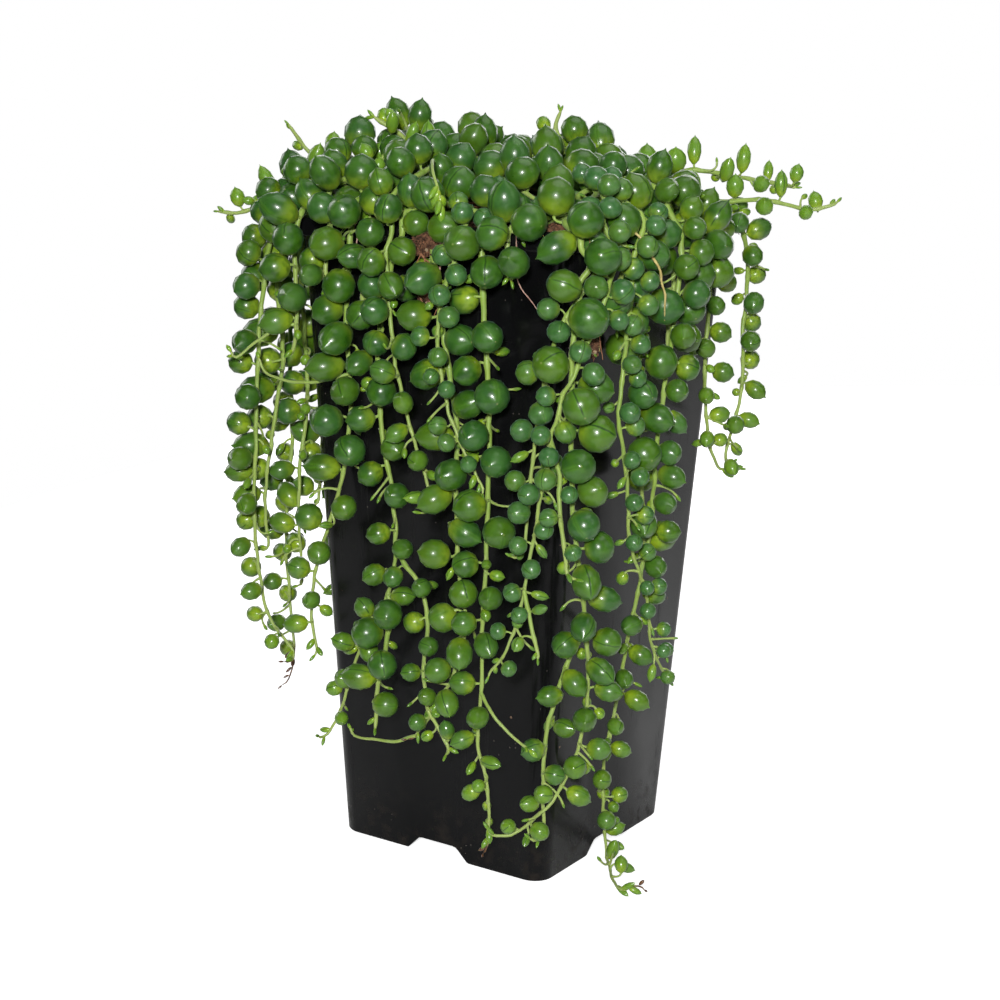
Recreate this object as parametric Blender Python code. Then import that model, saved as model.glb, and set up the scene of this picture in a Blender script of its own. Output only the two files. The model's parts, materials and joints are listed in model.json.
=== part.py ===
"""A potted string of pearls: trailing vines of round leaves in a tall square plastic pot.

The pot stands on z = 0 with its middle at the origin and its sides along x and y. Its front is
the -y side and its right is the +x side. The vines root in the potting mix, mound up over the
rim and hang down the walls. Their layout is worked out in millimetres. Each vine is one closed
body: a thin three-sided stem with a faceted leaf on each short stalk.
"""

import math
from collections import namedtuple

import bmesh
import bpy
import numpy as np

# ---------------------------------------------------------------- driving sizes, in millimetres

RIM_WIDTH = 110.0
POT_HEIGHT = 213.0
BODY_WIDTH = 105.4  # across the walls, at their top
BASE_WIDTH = 83.0
CORNER = 7.0  # radius of the upright corners
RIM_BAND = 6.0  # height of the rim
WALL = 1.4
MIX_EDGE = -2.0  # the potting mix at the rim, from the rim's top
MIX_CROWN = 9.0  # how far the mix mounds up in the middle

STEM = 1.0  # radius of a stem
NODE_STEP = 3.0  # spacing of the points along a stem
STEM_ROOM = 1.7  # half of the room kept between two stems
LEAF_ROOM = 0.3  # room kept round a leaf
PETIOLE = 1.2  # a leaf's own short stalk
STALK_ROOM = 1.4  # room kept round the middle of a stalk
ROOT_RISE = 0.35  # a root's end, over the mix
GAP_TO_POT = 0.5  # least room between a leaf or a stem and the pot

HALF = RIM_WIDTH / 2
RIM_THICKNESS = (RIM_WIDTH - BODY_WIDTH) / 2 + WALL
SEED = 7

MM = 0.001
LIP_EDGE = 0.6  # bevel round the top of the rim
FLOOR = 5.5  # underside of the pot's floor, over the surface it stands on
NOTCH_HEIGHT = 5.0  # the gap at the foot of each side
NOTCH_BASE = 25.0
NOTCH_TOP = 15.0
DRAIN_RADIUS = 4.0
DRAIN_PLACE = 21.0  # of the four outer drain holes, from the middle
CORNER_STEPS = 4
GAP = 0.3  # left between the mix and the pot
MIX_RINGS = 7
MIX_SIDE = 5  # points along each side of the mix, between its corners
TUBE = 1.15  # from a stem's middle to its three edges
TIP_SHARE = 0.55  # a stem's tip, as a share of its full thickness
WINDOW = 2.4  # length of the foot of a leaf's stalk along its stem
MERGE = 0.9  # stalks whose feet are nearer than this many stem points share a ring
LONGEST_SPAN = 12.0  # most distance between two rings of a stem
FORK = 1.6  # stem points from a fork to the first ring of its side branch
BEND = 0.22  # most that a straight span may cut a bend by

# ---------------------------------------------------------------- the vines

FRONT, RIGHT, BACK, LEFT = 0, 1, 2, 3

# A vine roots in the mix at (along, inset): along is the distance from the middle of its side
# and inset the distance inside the rim. It crosses the rim "lift" over its top, and then
# hangs through its points (along, out, height), where out is the distance outside the rim.
# Leaves shrink from the first diameter to the last, "step" apart, and end at the bare tip.
Vine = namedtuple("Vine", "name side root lift hang leaf step bare look", defaults=("pearl",))

VINES = [
    Vine("vine_front_01", FRONT, (-31, 18), 12, ((-31, 7, 211), (-32, 8, 202), (-32, 7, 190)),
         (10.5, 8.5), 9.0, 3),
    Vine("vine_front_02", FRONT, (-20, 24), 9,
         ((-24, 5, 208), (-26, 5, 180), (-24, 5, 160), (-26, 5, 135), (-32, 5, 116), (-38, 5, 98),
          (-40, 5, 84), (-37, 5, 68)), (11.5, 6.0), 10.0, 6),
    Vine("vine_front_03", FRONT, (-3, 16), 8,
         ((-6, 4, 211), (-11, 4, 192), (-14, 4, 172), (-12, 4, 147), (-7, 4, 124), (-6, 4, 108),
          (-8, 4, 96), (-14, 4, 84), (-22, 4, 70), (-27, 4, 53), (-34, 4, 40)), (9.4, 5.0), 9.0, 6),
    Vine("vine_front_04", FRONT, (-9, 32), 15,
         ((-9, 7, 212), (-7, 8, 190), (-5, 8, 174), (-2, 7, 160), (3, 6, 144), (9, 5, 127)),
         (9.5, 6.0), 10.0, 4),
    Vine("vine_front_05", FRONT, (21, 26), 12,
         ((21, 9, 213), (16, 9, 200), (13, 9, 185), (14, 9, 168), (18, 9, 156), (23, 9, 146),
          (30, 8, 133)), (6.8, 4.8), 7.2, 7, "blue"),
    Vine("vine_front_06", FRONT, (24, 12), 8,
         ((25, 4, 208), (26, 4, 190), (28, 4, 166), (29, 4, 150), (29, 4, 120), (28, 4, 90),
          (28, 4, 64), (27, 4, 50), (30, 4, 42), (32, 4, 30), (31, 3, 15)), (10.8, 5.0), 10.5, 12),
    Vine("vine_front_07", FRONT, (5, 12), 8,
         ((7, 4, 207), (9, 4, 190), (13, 4, 172), (17, 4, 152), (17, 4, 130), (19, 4, 104),
          (22, 4, 90), (20, 5, 78), (17, 5, 69), (10, 5, 59), (2, 5, 46)), (10.5, 8.0), 9.6, 22),
    Vine("vine_front_08", RIGHT, (-32, 17), 7,
         ((-44, 4, 209), (-51, 4, 200), (-58, 0, 189), (-59, -5, 177), (-59, -8, 160),
          (-59, -10, 144), (-59, -12, 115)), (8.0, 6.8), 9.4, 5, "blue"),
    Vine("vine_front_09", RIGHT, (-21, 25), 12,
         ((-42, 7, 209), (-50, 9, 196), (-59, 6, 178), (-63, 1, 158), (-62, -5, 134),
          (-62, -9, 111), (-62, -12, 95), (-62, -17, 82), (-62, -23, 75)),
         (7.2, 5.2), 8.2, 8, "blue"),
    Vine("vine_front_10", FRONT, (-49, 11), 7,
         ((-46, 5, 209), (-46, 6, 196), (-45, 6, 182), (-47, 6, 170)), (11.0, 9.5), 10.0, 3),
    Vine("vine_front_11", FRONT, (-15, 11), 6, ((-15, 5, 208), (-18, 6, 196), (-19, 6, 184)),
         (10.5, 10.0), 9.5, 2),
    Vine("vine_front_12", FRONT, (34, 13), 7, ((35, 5, 208), (37, 6, 199)), (10.5, 10.0), 9.5, 2),
    # the near corner and the right side
    Vine("vine_corner", RIGHT, (-40, 12), 7,
         ((-52, 5, 210), (-57, 3, 194), (-58, 2, 168), (-56, 3, 130), (-51, 4, 106), (-46, 3, 90),
          (-45, 4, 71), (-46, 3, 57), (-48, 0, 44), (-51, -5, 34), (-54, -10, 27), (-57, -15, 22),
          (-61, -20, 22)), (11.8, 5.0), 9.2, 4),
    Vine("vine_right_01", RIGHT, (-33, 24), 13,
         ((-37, 9, 208), (-37, 9, 190), (-37, 8, 173), (-39, 8, 157), (-32, 8, 137), (-30, 8, 120),
          (-24, 8, 108), (-16, 8, 96), (-14, 8, 84), (-8, 8, 73), (3, 8, 63)),
         (6.8, 4.4), 7.6, 6, "blue"),
    Vine("vine_right_02", RIGHT, (-17, 12), 7,
         ((-23, 5, 207), (-24, 5, 188), (-24, 5, 170), (-22, 5, 155), (-17, 5, 132), (-13, 5, 118),
          (-14, 5, 106)), (11.2, 9.8), 10.0, 3),
    Vine("vine_right_03", RIGHT, (-13, 30), 16,
         ((-12, 12, 208), (-14, 12, 180), (-15, 9, 150), (-13, 6, 120), (-16, 4, 94), (-18, 2, 78),
          (-17, -1, 60), (-19, -4, 40), (-17, -5, 24), (-13, -6, 9), (-14, -4.5, 2.8),
          (-20, 0, 2.4), (-28, 6, 2.4), (-34, 12, 2.4), (-34, 15, 2.6), (-30, 14, 3.4)),
         (8.5, 4.8), 9.4, 12),
    Vine("vine_right_04", RIGHT, (12, 15), 8,
         ((13, 4, 211), (25, 4, 196), (27, 4, 184), (25, 4, 170), (27, 4, 156), (31, 4, 139),
          (40, 4, 129)), (8.0, 5.0), 7.8, 5),
    Vine("vine_right_05", RIGHT, (40, 13), 6,
         ((46, 4, 213), (51, 5, 204), (53, 5, 188), (51, 5, 176), (53, 5, 163), (51, 5, 150),
          (45, 5, 140), (42, 5, 132), (50, 6, 127)), (7.8, 5.0), 8.2, 5),
    Vine("vine_right_06", RIGHT, (-25, 5), 5, ((-33, 5, 208), (-38, 6, 196), (-38, 6, 184)),
         (11.2, 10.5), 9.8, 2),
    Vine("vine_right_07", RIGHT, (-5, 12), 7,
         ((-6, 6, 208), (-5, 7, 196), (-7, 7, 184), (-5, 6, 174)), (11.2, 10.0), 9.8, 2),
    Vine("vine_right_08", RIGHT, (3, 26), 13, ((4, 11, 210), (3, 11, 198)), (10.4, 10.0), 9.6, 2),
    Vine("vine_right_09", RIGHT, (21, 20), 8, ((20, 5, 213), (21, 6, 206)), (9.0, 7.5), 9.0, 3),
    # the left side: a heavy bunch at its front end, lighter behind
    Vine("vine_left_01", LEFT, (44, 27), 12,
         ((50, 8, 210), (56, 8, 198), (58, 8, 185), (59, 9, 160), (60, 9, 136), (60, 10, 116),
          (59, 9, 96), (57, 6, 77), (52, -2, 64)), (9.8, 5.0), 9.2, 8),
    Vine("vine_left_02", LEFT, (36, 15), 8,
         ((46, 6, 208), (51, 7, 190), (49, 6, 168), (51, 9, 140), (53, 11, 120), (51, 11, 100)),
         (11.0, 8.0), 10.0, 4),
    Vine("vine_left_03", LEFT, (39, 5), 4,
         ((41, 4, 208), (42, 4, 185), (40, 3, 158), (41, 3, 144), (43, 4, 126), (43, 4, 104),
          (40, 5, 84)), (9.5, 7.0), 9.6, 6),
    Vine("vine_left_04", LEFT, (22, 24), 12,
         ((29, 15, 208), (32, 17, 190), (32, 17, 169), (32, 16, 138), (33, 18, 112), (33, 18, 90),
          (33, 16, 70), (36, 12, 56), (41, 12, 47)), (9.5, 5.5), 9.6, 14),
    Vine("vine_left_05", LEFT, (25, 11), 6,
         ((27, 6, 207), (27, 7, 188), (26, 7, 160), (27, 7, 136), (29, 7, 112)),
         (10.5, 7.5), 10.2, 4),
    Vine("vine_left_06", LEFT, (10, 20), 9,
         ((10, 7, 207), (9, 8, 180), (11, 8, 150), (9, 8, 118), (12, 7, 84), (10, 6, 60)),
         (10.0, 5.5), 10.4, 8),
    Vine("vine_left_07", LEFT, (-8, 14), 7,
         ((-8, 5, 207), (-10, 6, 184), (-9, 6, 150), (-12, 6, 126)), (10.5, 7.0), 10.6, 5),
    Vine("vine_left_08", LEFT, (-26, 20), 9,
         ((-26, 6, 208), (-27, 7, 176), (-24, 7, 142), (-26, 7, 104), (-23, 6, 76)),
         (9.6, 5.5), 10.4, 8),
    Vine("vine_left_09", LEFT, (-35, 12), 8, ((-41, 5, 208), (-43, 6, 186), (-42, 6, 158)),
         (10.0, 8.0), 10.4, 4),
    # the back
    Vine("vine_back_01", BACK, (-34, 18), 8, ((-33, 5, 208), (-31, 6, 190), (-30, 6, 172)),
         (9.0, 7.5), 10.0, 4),
    Vine("vine_back_02", BACK, (-21, 13), 7,
         ((-21, 5, 208), (-22, 6, 178), (-20, 6, 140), (-22, 6, 104), (-19, 6, 78)),
         (9.6, 5.5), 10.4, 8),
    Vine("vine_back_03", BACK, (-10, 24), 12,
         ((-8, 11, 209), (-6, 11, 180), (-8, 10, 150), (-5, 9, 116), (-7, 8, 92)),
         (8.4, 5.5), 9.8, 8, "blue"),
    Vine("vine_back_04", BACK, (9, 13), 7,
         ((8, 5, 208), (9, 6, 184), (7, 6, 150), (9, 6, 122), (5, 6, 100)), (10.6, 7.0), 10.6, 5),
    Vine("vine_back_05", BACK, (24, 22), 10, ((25, 10, 209), (26, 10, 186), (24, 9, 160)),
         (9.6, 8.0), 10.2, 4),
    Vine("vine_back_06", BACK, (38, 13), 8,
         ((44, 6, 208), (46, 7, 180), (44, 7, 142), (47, 7, 112), (45, 6, 84), (41, 6, 62)),
         (9.4, 5.0), 10.2, 10),
    # shoots that reach out sideways from the crown
    Vine("shoot_left_low", LEFT, (15, 14), 14,
         ((30, 0, 229), (38, 10, 225), (44, 19, 216), (47, 24, 213), (49, 28, 212), (51, 32, 213)),
         (8.5, 4.0), 7.0, 4, "young"),
    Vine("shoot_left_high", LEFT, (12, 29), 18, ((33, 5, 231), (37, 9, 237), (40, 11, 242)),
         (7.0, 4.0), 7.0, 2, "young"),
    Vine("shoot_right_high", RIGHT, (22, 34), 16,
         ((34, -6, 230), (46, 4, 228), (55, 9, 227), (60, 13, 226), (62, 17, 225)),
         (8.0, 4.5), 7.6, 3, "young"),
    Vine("shoot_right_low", RIGHT, (30, 14), 9,
         ((40, 1, 220), (50, 13, 221), (55, 19, 219), (59, 23, 218), (61, 27, 218), (63, 31, 220)),
         (7.5, 4.5), 7.6, 3, "young"),
]

# A side branch leaves its vine at the vine's point nearest to its own first point.
Branch = namedtuple("Branch", "vine points leaf step bare look", defaults=("pearl",))

BRANCHES = [
    Branch("vine_front_03", ((-6, 4, 108), (0, 5, 104), (6, 5, 97), (8, 5, 86), (6, 5, 74),
                             (10, 5, 57), (17, 5, 47)), (7.0, 5.0), 9.0, 3),
    Branch("vine_front_03", ((-8, 4, 94), (-7, 6, 82), (-11, 6, 64), (-12, 6, 50)),
           (10.5, 8.5), 8.0, 3),
    Branch("vine_front_09", ((-62, -1, 152), (-62, 2, 132), (-62, 5, 112)),
           (6.0, 5.5), 9.0, 3, "blue"),
    Branch("vine_front_09", ((-62, -10, 104), (-62, -7, 93), (-62, -4, 84)),
           (4.5, 4.0), 8.0, 3, "young"),
    Branch("vine_corner", ((-46, 3, 92), (-48, -1, 82), (-50, -4, 71), (-52, -7, 54),
                           (-52, -7, 39), (-52, -7, 22)), (8.0, 5.0), 9.5, 4),
]

# Vines that stay on top of the mix, through (x, y, height over the mix).
Creeper = namedtuple("Creeper", "name points leaf step bare look", defaults=("pearl",))

CREEPERS = [
    Creeper("crown_vine_01", ((-34, -4, 2), (-33, -18, 9), (-22, -32, 14), (-8, -37, 13),
                              (6, -36, 12)), (10.5, 9.5), 9.6, 2),
    Creeper("crown_vine_02", ((-6, -30, 2), (-18, -22, 10), (-28, -8, 15), (-34, 6, 15),
                              (-34, 20, 12)), (10.8, 10.0), 9.6, 2),
    Creeper("crown_vine_03", ((10, -14, 2), (2, -22, 10), (-10, -16, 16), (-20, -6, 19),
                              (-26, 6, 19), (-24, 18, 16)), (10.6, 9.0), 9.6, 3),
    Creeper("crown_vine_04", ((-4, 14, 2), (8, 8, 10), (20, -4, 14), (28, -16, 15), (34, -30, 12)),
            (10.8, 10.0), 9.6, 2),
    Creeper("crown_vine_05", ((26, 0, 2), (18, -14, 10), (14, -26, 14), (22, -38, 14),
                              (36, -42, 10)), (10.6, 10.0), 9.6, 2),
    Creeper("crown_vine_06", ((-12, 4, 2), (-2, -4, 12), (8, -6, 18), (18, 2, 19), (26, 12, 17),
                              (34, 20, 13)), (10.4, 9.6), 9.6, 2),
    Creeper("crown_vine_07", ((14, 26, 2), (4, 20, 10), (-8, 16, 15), (-18, 24, 14), (-26, 36, 10)),
            (10.4, 9.6), 9.6, 2),
    Creeper("crown_vine_08", ((30, 14, 2), (22, 22, 10), (12, 30, 13), (2, 38, 12), (-10, 40, 10)),
            (10.2, 9.6), 9.6, 2),
    Creeper("crown_vine_09", ((38, -14, 2), (42, -2, 9), (40, 12, 12), (36, 26, 12), (26, 36, 11)),
            (10.6, 9.8), 9.6, 2),
    Creeper("crown_vine_10", ((-28, -6, 3), (-40, -14, 16), (-46, -26, 22), (-42, -38, 20),
                              (-30, -42, 16)), (10.6, 9.0), 9.6, 2),
    Creeper("crown_vine_11", ((-40, 24, 2), (-44, 10, 11), (-42, -6, 18), (-34, -18, 24),
                              (-24, -26, 22)), (10.4, 9.0), 9.6, 2),
    Creeper("crown_vine_12", ((38, 34, 2), (34, 42, 8), (22, 46, 9), (8, 46, 9)),
            (10.0, 9.0), 9.6, 2),
    Creeper("crown_vine_13", ((-26, 27, 2), (-33, 35, 9), (-25, 42, 13), (-13, 37, 16), (-5, 28, 17)),
            (10.4, 9.4), 9.6, 2),
    Creeper("crown_shoot_01", ((-19, -10, 3), (-25, -19, 18), (-32, -26, 26), (-39, -30, 31)),
            (8.0, 5.0), 6.5, 1, "young"),
    Creeper("crown_shoot_02", ((10, 8, 3), (9, 5, 14), (8, 4, 21), (11, 7, 29)),
            (8.0, 4.5), 6.5, 1, "young"),
    Creeper("crown_shoot_03", ((-14, -28, 3), (-21, -33, 20), (-27, -38, 20), (-26, -47, 12),
                               (-22, -57, 4)), (5.5, 4.5), 9.0, 6, "young"),
]

# ---------------------------------------------------------------- where the vines lie


def to_world(side, along, out, height):
    x, y = along, -(HALF + out)
    for _ in range(side):
        x, y = -y, x
    return x, y, height


def mix_height(x, y):
    reach = (np.abs(x) ** 3 + np.abs(y) ** 3) ** (1 / 3) / (HALF - 3)
    return POT_HEIGHT + MIX_EDGE + MIX_CROWN * (1 - reach**2)


def wall_half(z):
    """Half the pot's width at a height."""
    share = np.clip(z / (POT_HEIGHT - RIM_BAND), 0, 1)
    return (BASE_WIDTH + (BODY_WIDTH - BASE_WIDTH) * share) / 2


def square_distance(x, y, half):
    """Signed distance from a round-cornered square, and the direction away from it."""
    qx = np.abs(x) - (half - CORNER)
    qy = np.abs(y) - (half - CORNER)
    length = np.hypot(np.maximum(qx, 0), np.maximum(qy, 0))
    inside = np.minimum(np.maximum(qx, qy), 0)
    at_corner = length > 1e-9
    safe = np.maximum(length, 1e-9)
    nx = np.where(at_corner, np.maximum(qx, 0) / safe, qx >= qy)
    ny = np.where(at_corner, np.maximum(qy, 0) / safe, qx < qy)
    return length + inside - CORNER, nx * np.sign(x), ny * np.sign(y)


def catmull_rom(p, t, at):
    """A point of the centripetal Catmull-Rom curve through the middle two of four points."""
    a = [((t[k + 1] - at) * p[k] + (at - t[k]) * p[k + 1]) / (t[k + 1] - t[k]) for k in range(3)]
    b = [((t[k + 2] - at) * a[k] + (at - t[k]) * a[k + 1]) / (t[k + 2] - t[k]) for k in range(2)]
    return ((t[2] - at) * b[0] + (at - t[1]) * b[1]) / (t[2] - t[1])


def smooth_path(points, step):
    """Evenly spaced points on a smooth curve through the given ones, and its length."""
    p = np.asarray(points, float)
    p = np.vstack([2 * p[0] - p[1], p, 2 * p[-1] - p[-2]])
    fine = []
    for i in range(1, len(p) - 2):
        four = p[i - 1 : i + 3]
        t = np.concatenate([[0], np.cumsum(np.linalg.norm(np.diff(four, axis=0), axis=1) ** 0.5)])
        fine += [catmull_rom(four, t, at) for at in np.linspace(t[1], t[2], 24, endpoint=False)]
    fine = np.array(fine + [p[-2]])
    run = np.concatenate([[0], np.cumsum(np.linalg.norm(np.diff(fine, axis=0), axis=1))])
    at = np.linspace(0, run[-1], max(3, round(run[-1] / step) + 1))
    return np.stack([np.interp(at, run, fine[:, k]) for k in range(3)], axis=1), run[-1]


def vine_route(vine):
    """From the root, up over the mix, across the rim and down the hanging points."""
    along, inset = vine.root
    first_along, first_out, first_height = vine.hang[0]
    x, y, _ = to_world(vine.side, along, -inset, 0)
    ground = float(mix_height(x, y))
    cross = POT_HEIGHT + vine.lift
    route = [(x, y, ground + ROOT_RISE)]
    if first_height < POT_HEIGHT + 5:
        rise = max(cross, ground + 0.6 * vine.lift)
        route.append(to_world(vine.side, 0.7 * along + 0.3 * first_along, -0.62 * inset, rise))
        route.append(to_world(vine.side, first_along, min(0.2 * first_out, 2) - 1, cross - 1))
    else:
        middle = 0.45 * first_out - 0.55 * inset
        route.append(
            to_world(vine.side, (along + first_along) / 2, middle, max(cross - 2, ground + 6))
        )
    return route + [to_world(vine.side, *point) for point in vine.hang]


def out_of_pot(points, clearance):
    """The moves that bring points out of the walls, the rim, the mix and the floor."""
    x, y, z = points.T
    near_rim = z > POT_HEIGHT - RIM_BAND - 5
    distance, nx, ny = square_distance(x, y, np.where(near_rim, HALF, wall_half(z)))
    side = np.sign(distance + RIM_THICKNESS / 2 + 1e-9)
    aside = np.abs(distance + RIM_THICKNESS / 2) - RIM_THICKNESS / 2
    above = z - POT_HEIGHT
    over = (above >= 0) | ((aside < 0.5) & (distance < -1))
    flat, high = np.maximum(aside, 0), np.maximum(above, 0)
    edge = np.hypot(flat, high)
    short = np.maximum(clearance - edge, 0)
    lean = np.where(edge > 1e-6, flat / np.maximum(edge, 1e-6), 0)
    outwards = side * np.where(over, short * lean, np.maximum(clearance - aside, 0))
    upwards = np.where(over, short * np.sqrt(1 - lean**2) + np.maximum(-above, 0), 0)
    ground = np.where(distance < -RIM_THICKNESS, mix_height(x, y), 0) + clearance
    upwards = np.maximum(upwards, ground - z)
    return np.stack([outwards * nx, outwards * ny, upwards], axis=1)


class Stem:
    """One unbranched stretch of stem. Its nodes and leaves are rows of the layout's arrays."""

    def __init__(self, name, route, spec, start, branch=False):
        self.name = name
        self.nodes, self.length = smooth_path(route, NODE_STEP)
        self.leaf, self.step, self.bare, self.look = spec.leaf, spec.step, spec.bare, spec.look
        self.start = start
        self.branch = branch
        self.first = 0
        self.tied_to = None
        self.leaves = []


Leaf = namedtuple("Leaf", "row stalk node direction reach stalk_length")


def all_stems():
    side_of = {vine.name: vine.side for vine in VINES}
    stems = [Stem(vine.name, vine_route(vine), vine, 10.5) for vine in VINES]
    for creeper in CREEPERS:
        (x, y, _), *rest = creeper.points
        route = [(x, y, float(mix_height(x, y)) + ROOT_RISE)]
        route += [(x, y, float(mix_height(x, y)) + height) for x, y, height in rest]
        stems.append(Stem(creeper.name, route, creeper, 6.0))
    for branch in BRANCHES:
        route = [to_world(side_of[branch.vine], *point) for point in branch.points]
        stems.append(Stem(branch.vine, route, branch, 6.0, branch=True))
    return stems


def away_from_pot(point):
    """The direction in which a leaf stands off: outwards on a wall, up on the crown."""
    x, y, z = point
    distance, nx, ny = square_distance(x, y, wall_half(z))
    if z > POT_HEIGHT:
        lean = np.clip((distance + 12) / 18, 0, 1)
        return np.array([nx * lean, ny * lean, 1 - 0.55 * lean])
    return np.array([float(nx), float(ny), 0.12])


def place_leaves(stem, rng, side):
    """Leaf centres along a stem, left and right in turn, and what each one hangs from."""
    tangents = np.gradient(stem.nodes, axis=0)
    spacing = stem.length / (len(stem.nodes) - 1)
    at = stem.start
    while at < stem.length - stem.bare:
        share = at / stem.length
        size = stem.leaf[0] + (stem.leaf[1] - stem.leaf[0]) * share**2.2
        size *= 1 + 0.09 * rng.uniform(-1, 1)
        node = int(np.clip(round(at / spacing), 0, len(stem.nodes) - 1))
        point = stem.nodes[node]
        tangent = tangents[node] / np.linalg.norm(tangents[node])
        away = away_from_pot(point)
        away = away - away @ tangent * tangent
        away /= max(np.linalg.norm(away), 1e-6)
        turn = side * math.radians(44 + 24 * rng.uniform(-1, 1))
        direction = math.cos(turn) * away + math.sin(turn) * np.cross(tangent, away)
        stalk = PETIOLE * (1.6 if stem.look == "young" else 1.0) * (1 + 0.5 * rng.uniform(-1, 1))
        yield size / 2, Leaf(None, None, node, direction, size / 2 + STEM + stalk, stalk)
        crowded = 0.8 if point[2] > POT_HEIGHT - 6 and stem.look != "young" else 1.0
        shrink = 0.62 + 0.38 * size / stem.leaf[0]
        at += crowded * stem.step * shrink * (1 + 0.12 * rng.uniform(-1, 1))
        side = -side


class Layout:
    """Every stem node and leaf centre as one set of round particles, in millimetres."""

    def __init__(self):
        rng = np.random.default_rng(SEED)
        self.stems = all_stems()
        places, radii, hold, stem_of, is_leaf, node_of = [], [], [], [], [], []
        for k, stem in enumerate(self.stems):
            stem.first = len(places)
            for i, point in enumerate(stem.nodes):
                places.append(point)
                radii.append(STEM_ROOM)
                firm = 0.30 if point[2] < POT_HEIGHT - 4 else 0.03
                hold.append(max(firm, 0.25) if stem.look == "young" else firm)
                stem_of.append(k)
                is_leaf.append(False)
                node_of.append(i)
        for k, stem in enumerate(self.stems):
            for radius, leaf in place_leaves(stem, rng, 1 if k % 2 else -1):
                stem.leaves.append(leaf._replace(row=len(places), stalk=len(places) + 1))
                middle = STEM + leaf.stalk_length / 2
                for reach, size in ((leaf.reach, radius), (middle, STALK_ROOM)):
                    places.append(stem.nodes[leaf.node] + leaf.direction * reach)
                    radii.append(size)
                    hold.append(0.0)
                    stem_of.append(k)
                    is_leaf.append(reach == leaf.reach)
                    node_of.append(leaf.node)
        self.place = np.array(places)
        self.target = self.place.copy()
        self.radius = np.array(radii)
        self.hold = np.array(hold)
        self.stem_of = np.array(stem_of)
        self.is_leaf = np.array(is_leaf)
        self.node_of = np.array(node_of)
        self.room = self.radius + np.where(self.is_leaf, LEAF_ROOM, 0)
        self.clearance = np.where(self.is_leaf, self.radius + GAP_TO_POT, STEM + GAP_TO_POT)
        self.links = np.array(
            [
                (stem.first + i, stem.first + i + 1)
                for stem in self.stems
                for i in range(len(stem.nodes) - 1)
            ]
        )
        ends = self.place[self.links]
        self.link_length = np.linalg.norm(ends[:, 1] - ends[:, 0], axis=1)
        leaves = [(stem.first + leaf.node, leaf) for stem in self.stems for leaf in stem.leaves]
        self.foot = np.array([node for node, _ in leaves])
        self.head = np.array([leaf.row for _, leaf in leaves])
        self.stalk = np.array([leaf.stalk for _, leaf in leaves])
        self.stalk_at = np.array([STEM + leaf.stalk_length / 2 for _, leaf in leaves])
        self.reach = np.array([leaf.reach for _, leaf in leaves])
        self.direction = np.array([leaf.direction for _, leaf in leaves])
        self.roots = np.array([stem.first for stem in self.stems if not stem.branch])
        self.root_place = self.place[self.roots].copy()
        for stem in self.stems:
            if stem.branch:
                self.tie(stem)

    def tie(self, branch):
        trunk = next(s for s in self.stems if s.name == branch.name and not s.branch)
        apart = np.linalg.norm(trunk.nodes - branch.nodes[0], axis=1)
        branch.tied_to = trunk.first + int(np.argmin(apart))
        self.hold[branch.first] = 0.0

    def contacts(self, slack):
        """Pairs of particles near each other, and how far apart each pair has to be."""
        place, room = self.place.astype(np.float32), (self.room + slack / 2).astype(np.float32)
        square = (place**2).sum(axis=1) - room**2
        close = place @ place.T + np.outer(room, room) > (square[:, None] + square) / 2
        i, j = np.nonzero(np.triu(close, 1))
        same = self.stem_of[i] == self.stem_of[j]
        mixed = self.is_leaf[i] != self.is_leaf[j]
        along = np.abs(self.node_of[i] - self.node_of[j])
        skip = same & ~self.is_leaf[i] & ~self.is_leaf[j] & (along <= 4)
        skip |= same & mixed & (along <= 1)
        for stem in self.stems:
            if stem.branch:
                skip |= self.near_fork(i, j, stem) | self.near_fork(j, i, stem)
        i, j, own = i[~skip], j[~skip], (same & mixed)[~skip]
        room = self.room[i] + self.room[j] - np.where(own, STEM_ROOM - STEM, 0)
        return i, j, room

    def near_fork(self, i, j, branch):
        at = self.node_of[branch.tied_to]
        near = (self.stem_of[i] == self.stem_of[branch.first]) & (self.node_of[i] <= 4)
        near &= self.stem_of[j] == self.stem_of[branch.tied_to]
        near &= ~self.is_leaf[i] & ~self.is_leaf[j]
        return near & (np.abs(self.node_of[j] - at) <= 4)

    def pull(self, a, b, length, share_a, share_b):
        """Brings two rows of particles to their distance from each other."""
        gap = self.place[b] - self.place[a]
        apart = np.maximum(np.linalg.norm(gap, axis=1), 1e-6)
        move = ((apart - length) / apart)[:, None] * gap
        np.add.at(self.place, a, share_a * move)
        np.add.at(self.place, b, -share_b * move)

    def part_contacts(self, i, j, room):
        gap = self.place[j] - self.place[i]
        apart = np.maximum(np.linalg.norm(gap, axis=1), 1e-6)
        short = np.maximum(room - apart, 0) / apart
        touching = short > 0
        i, j, gap, short = i[touching], j[touching], gap[touching], short[touching]
        yield_i = np.where(self.is_leaf[i], 0.6, 1.0)
        yield_j = np.where(self.is_leaf[j], 0.6, 1.0)
        total = yield_i + yield_j
        move = np.zeros_like(self.place)
        count = np.zeros(len(move))
        np.add.at(move, i, -(yield_i / total * short)[:, None] * gap)
        np.add.at(move, j, (yield_j / total * short)[:, None] * gap)
        np.add.at(count, i, 1)
        np.add.at(count, j, 1)
        self.place += move / np.maximum(count, 1)[:, None] ** 0.6

    def clear_pot(self):
        """Moves particles, and the stems between them, out of the pot, the mix and the floor."""
        self.place += out_of_pot(self.place, self.clearance)
        a, b = self.links.T
        push = out_of_pot((self.place[a] + self.place[b]) / 2, STEM + GAP_TO_POT)
        np.add.at(self.place, a, 0.7 * push)
        np.add.at(self.place, b, 0.7 * push)

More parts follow.
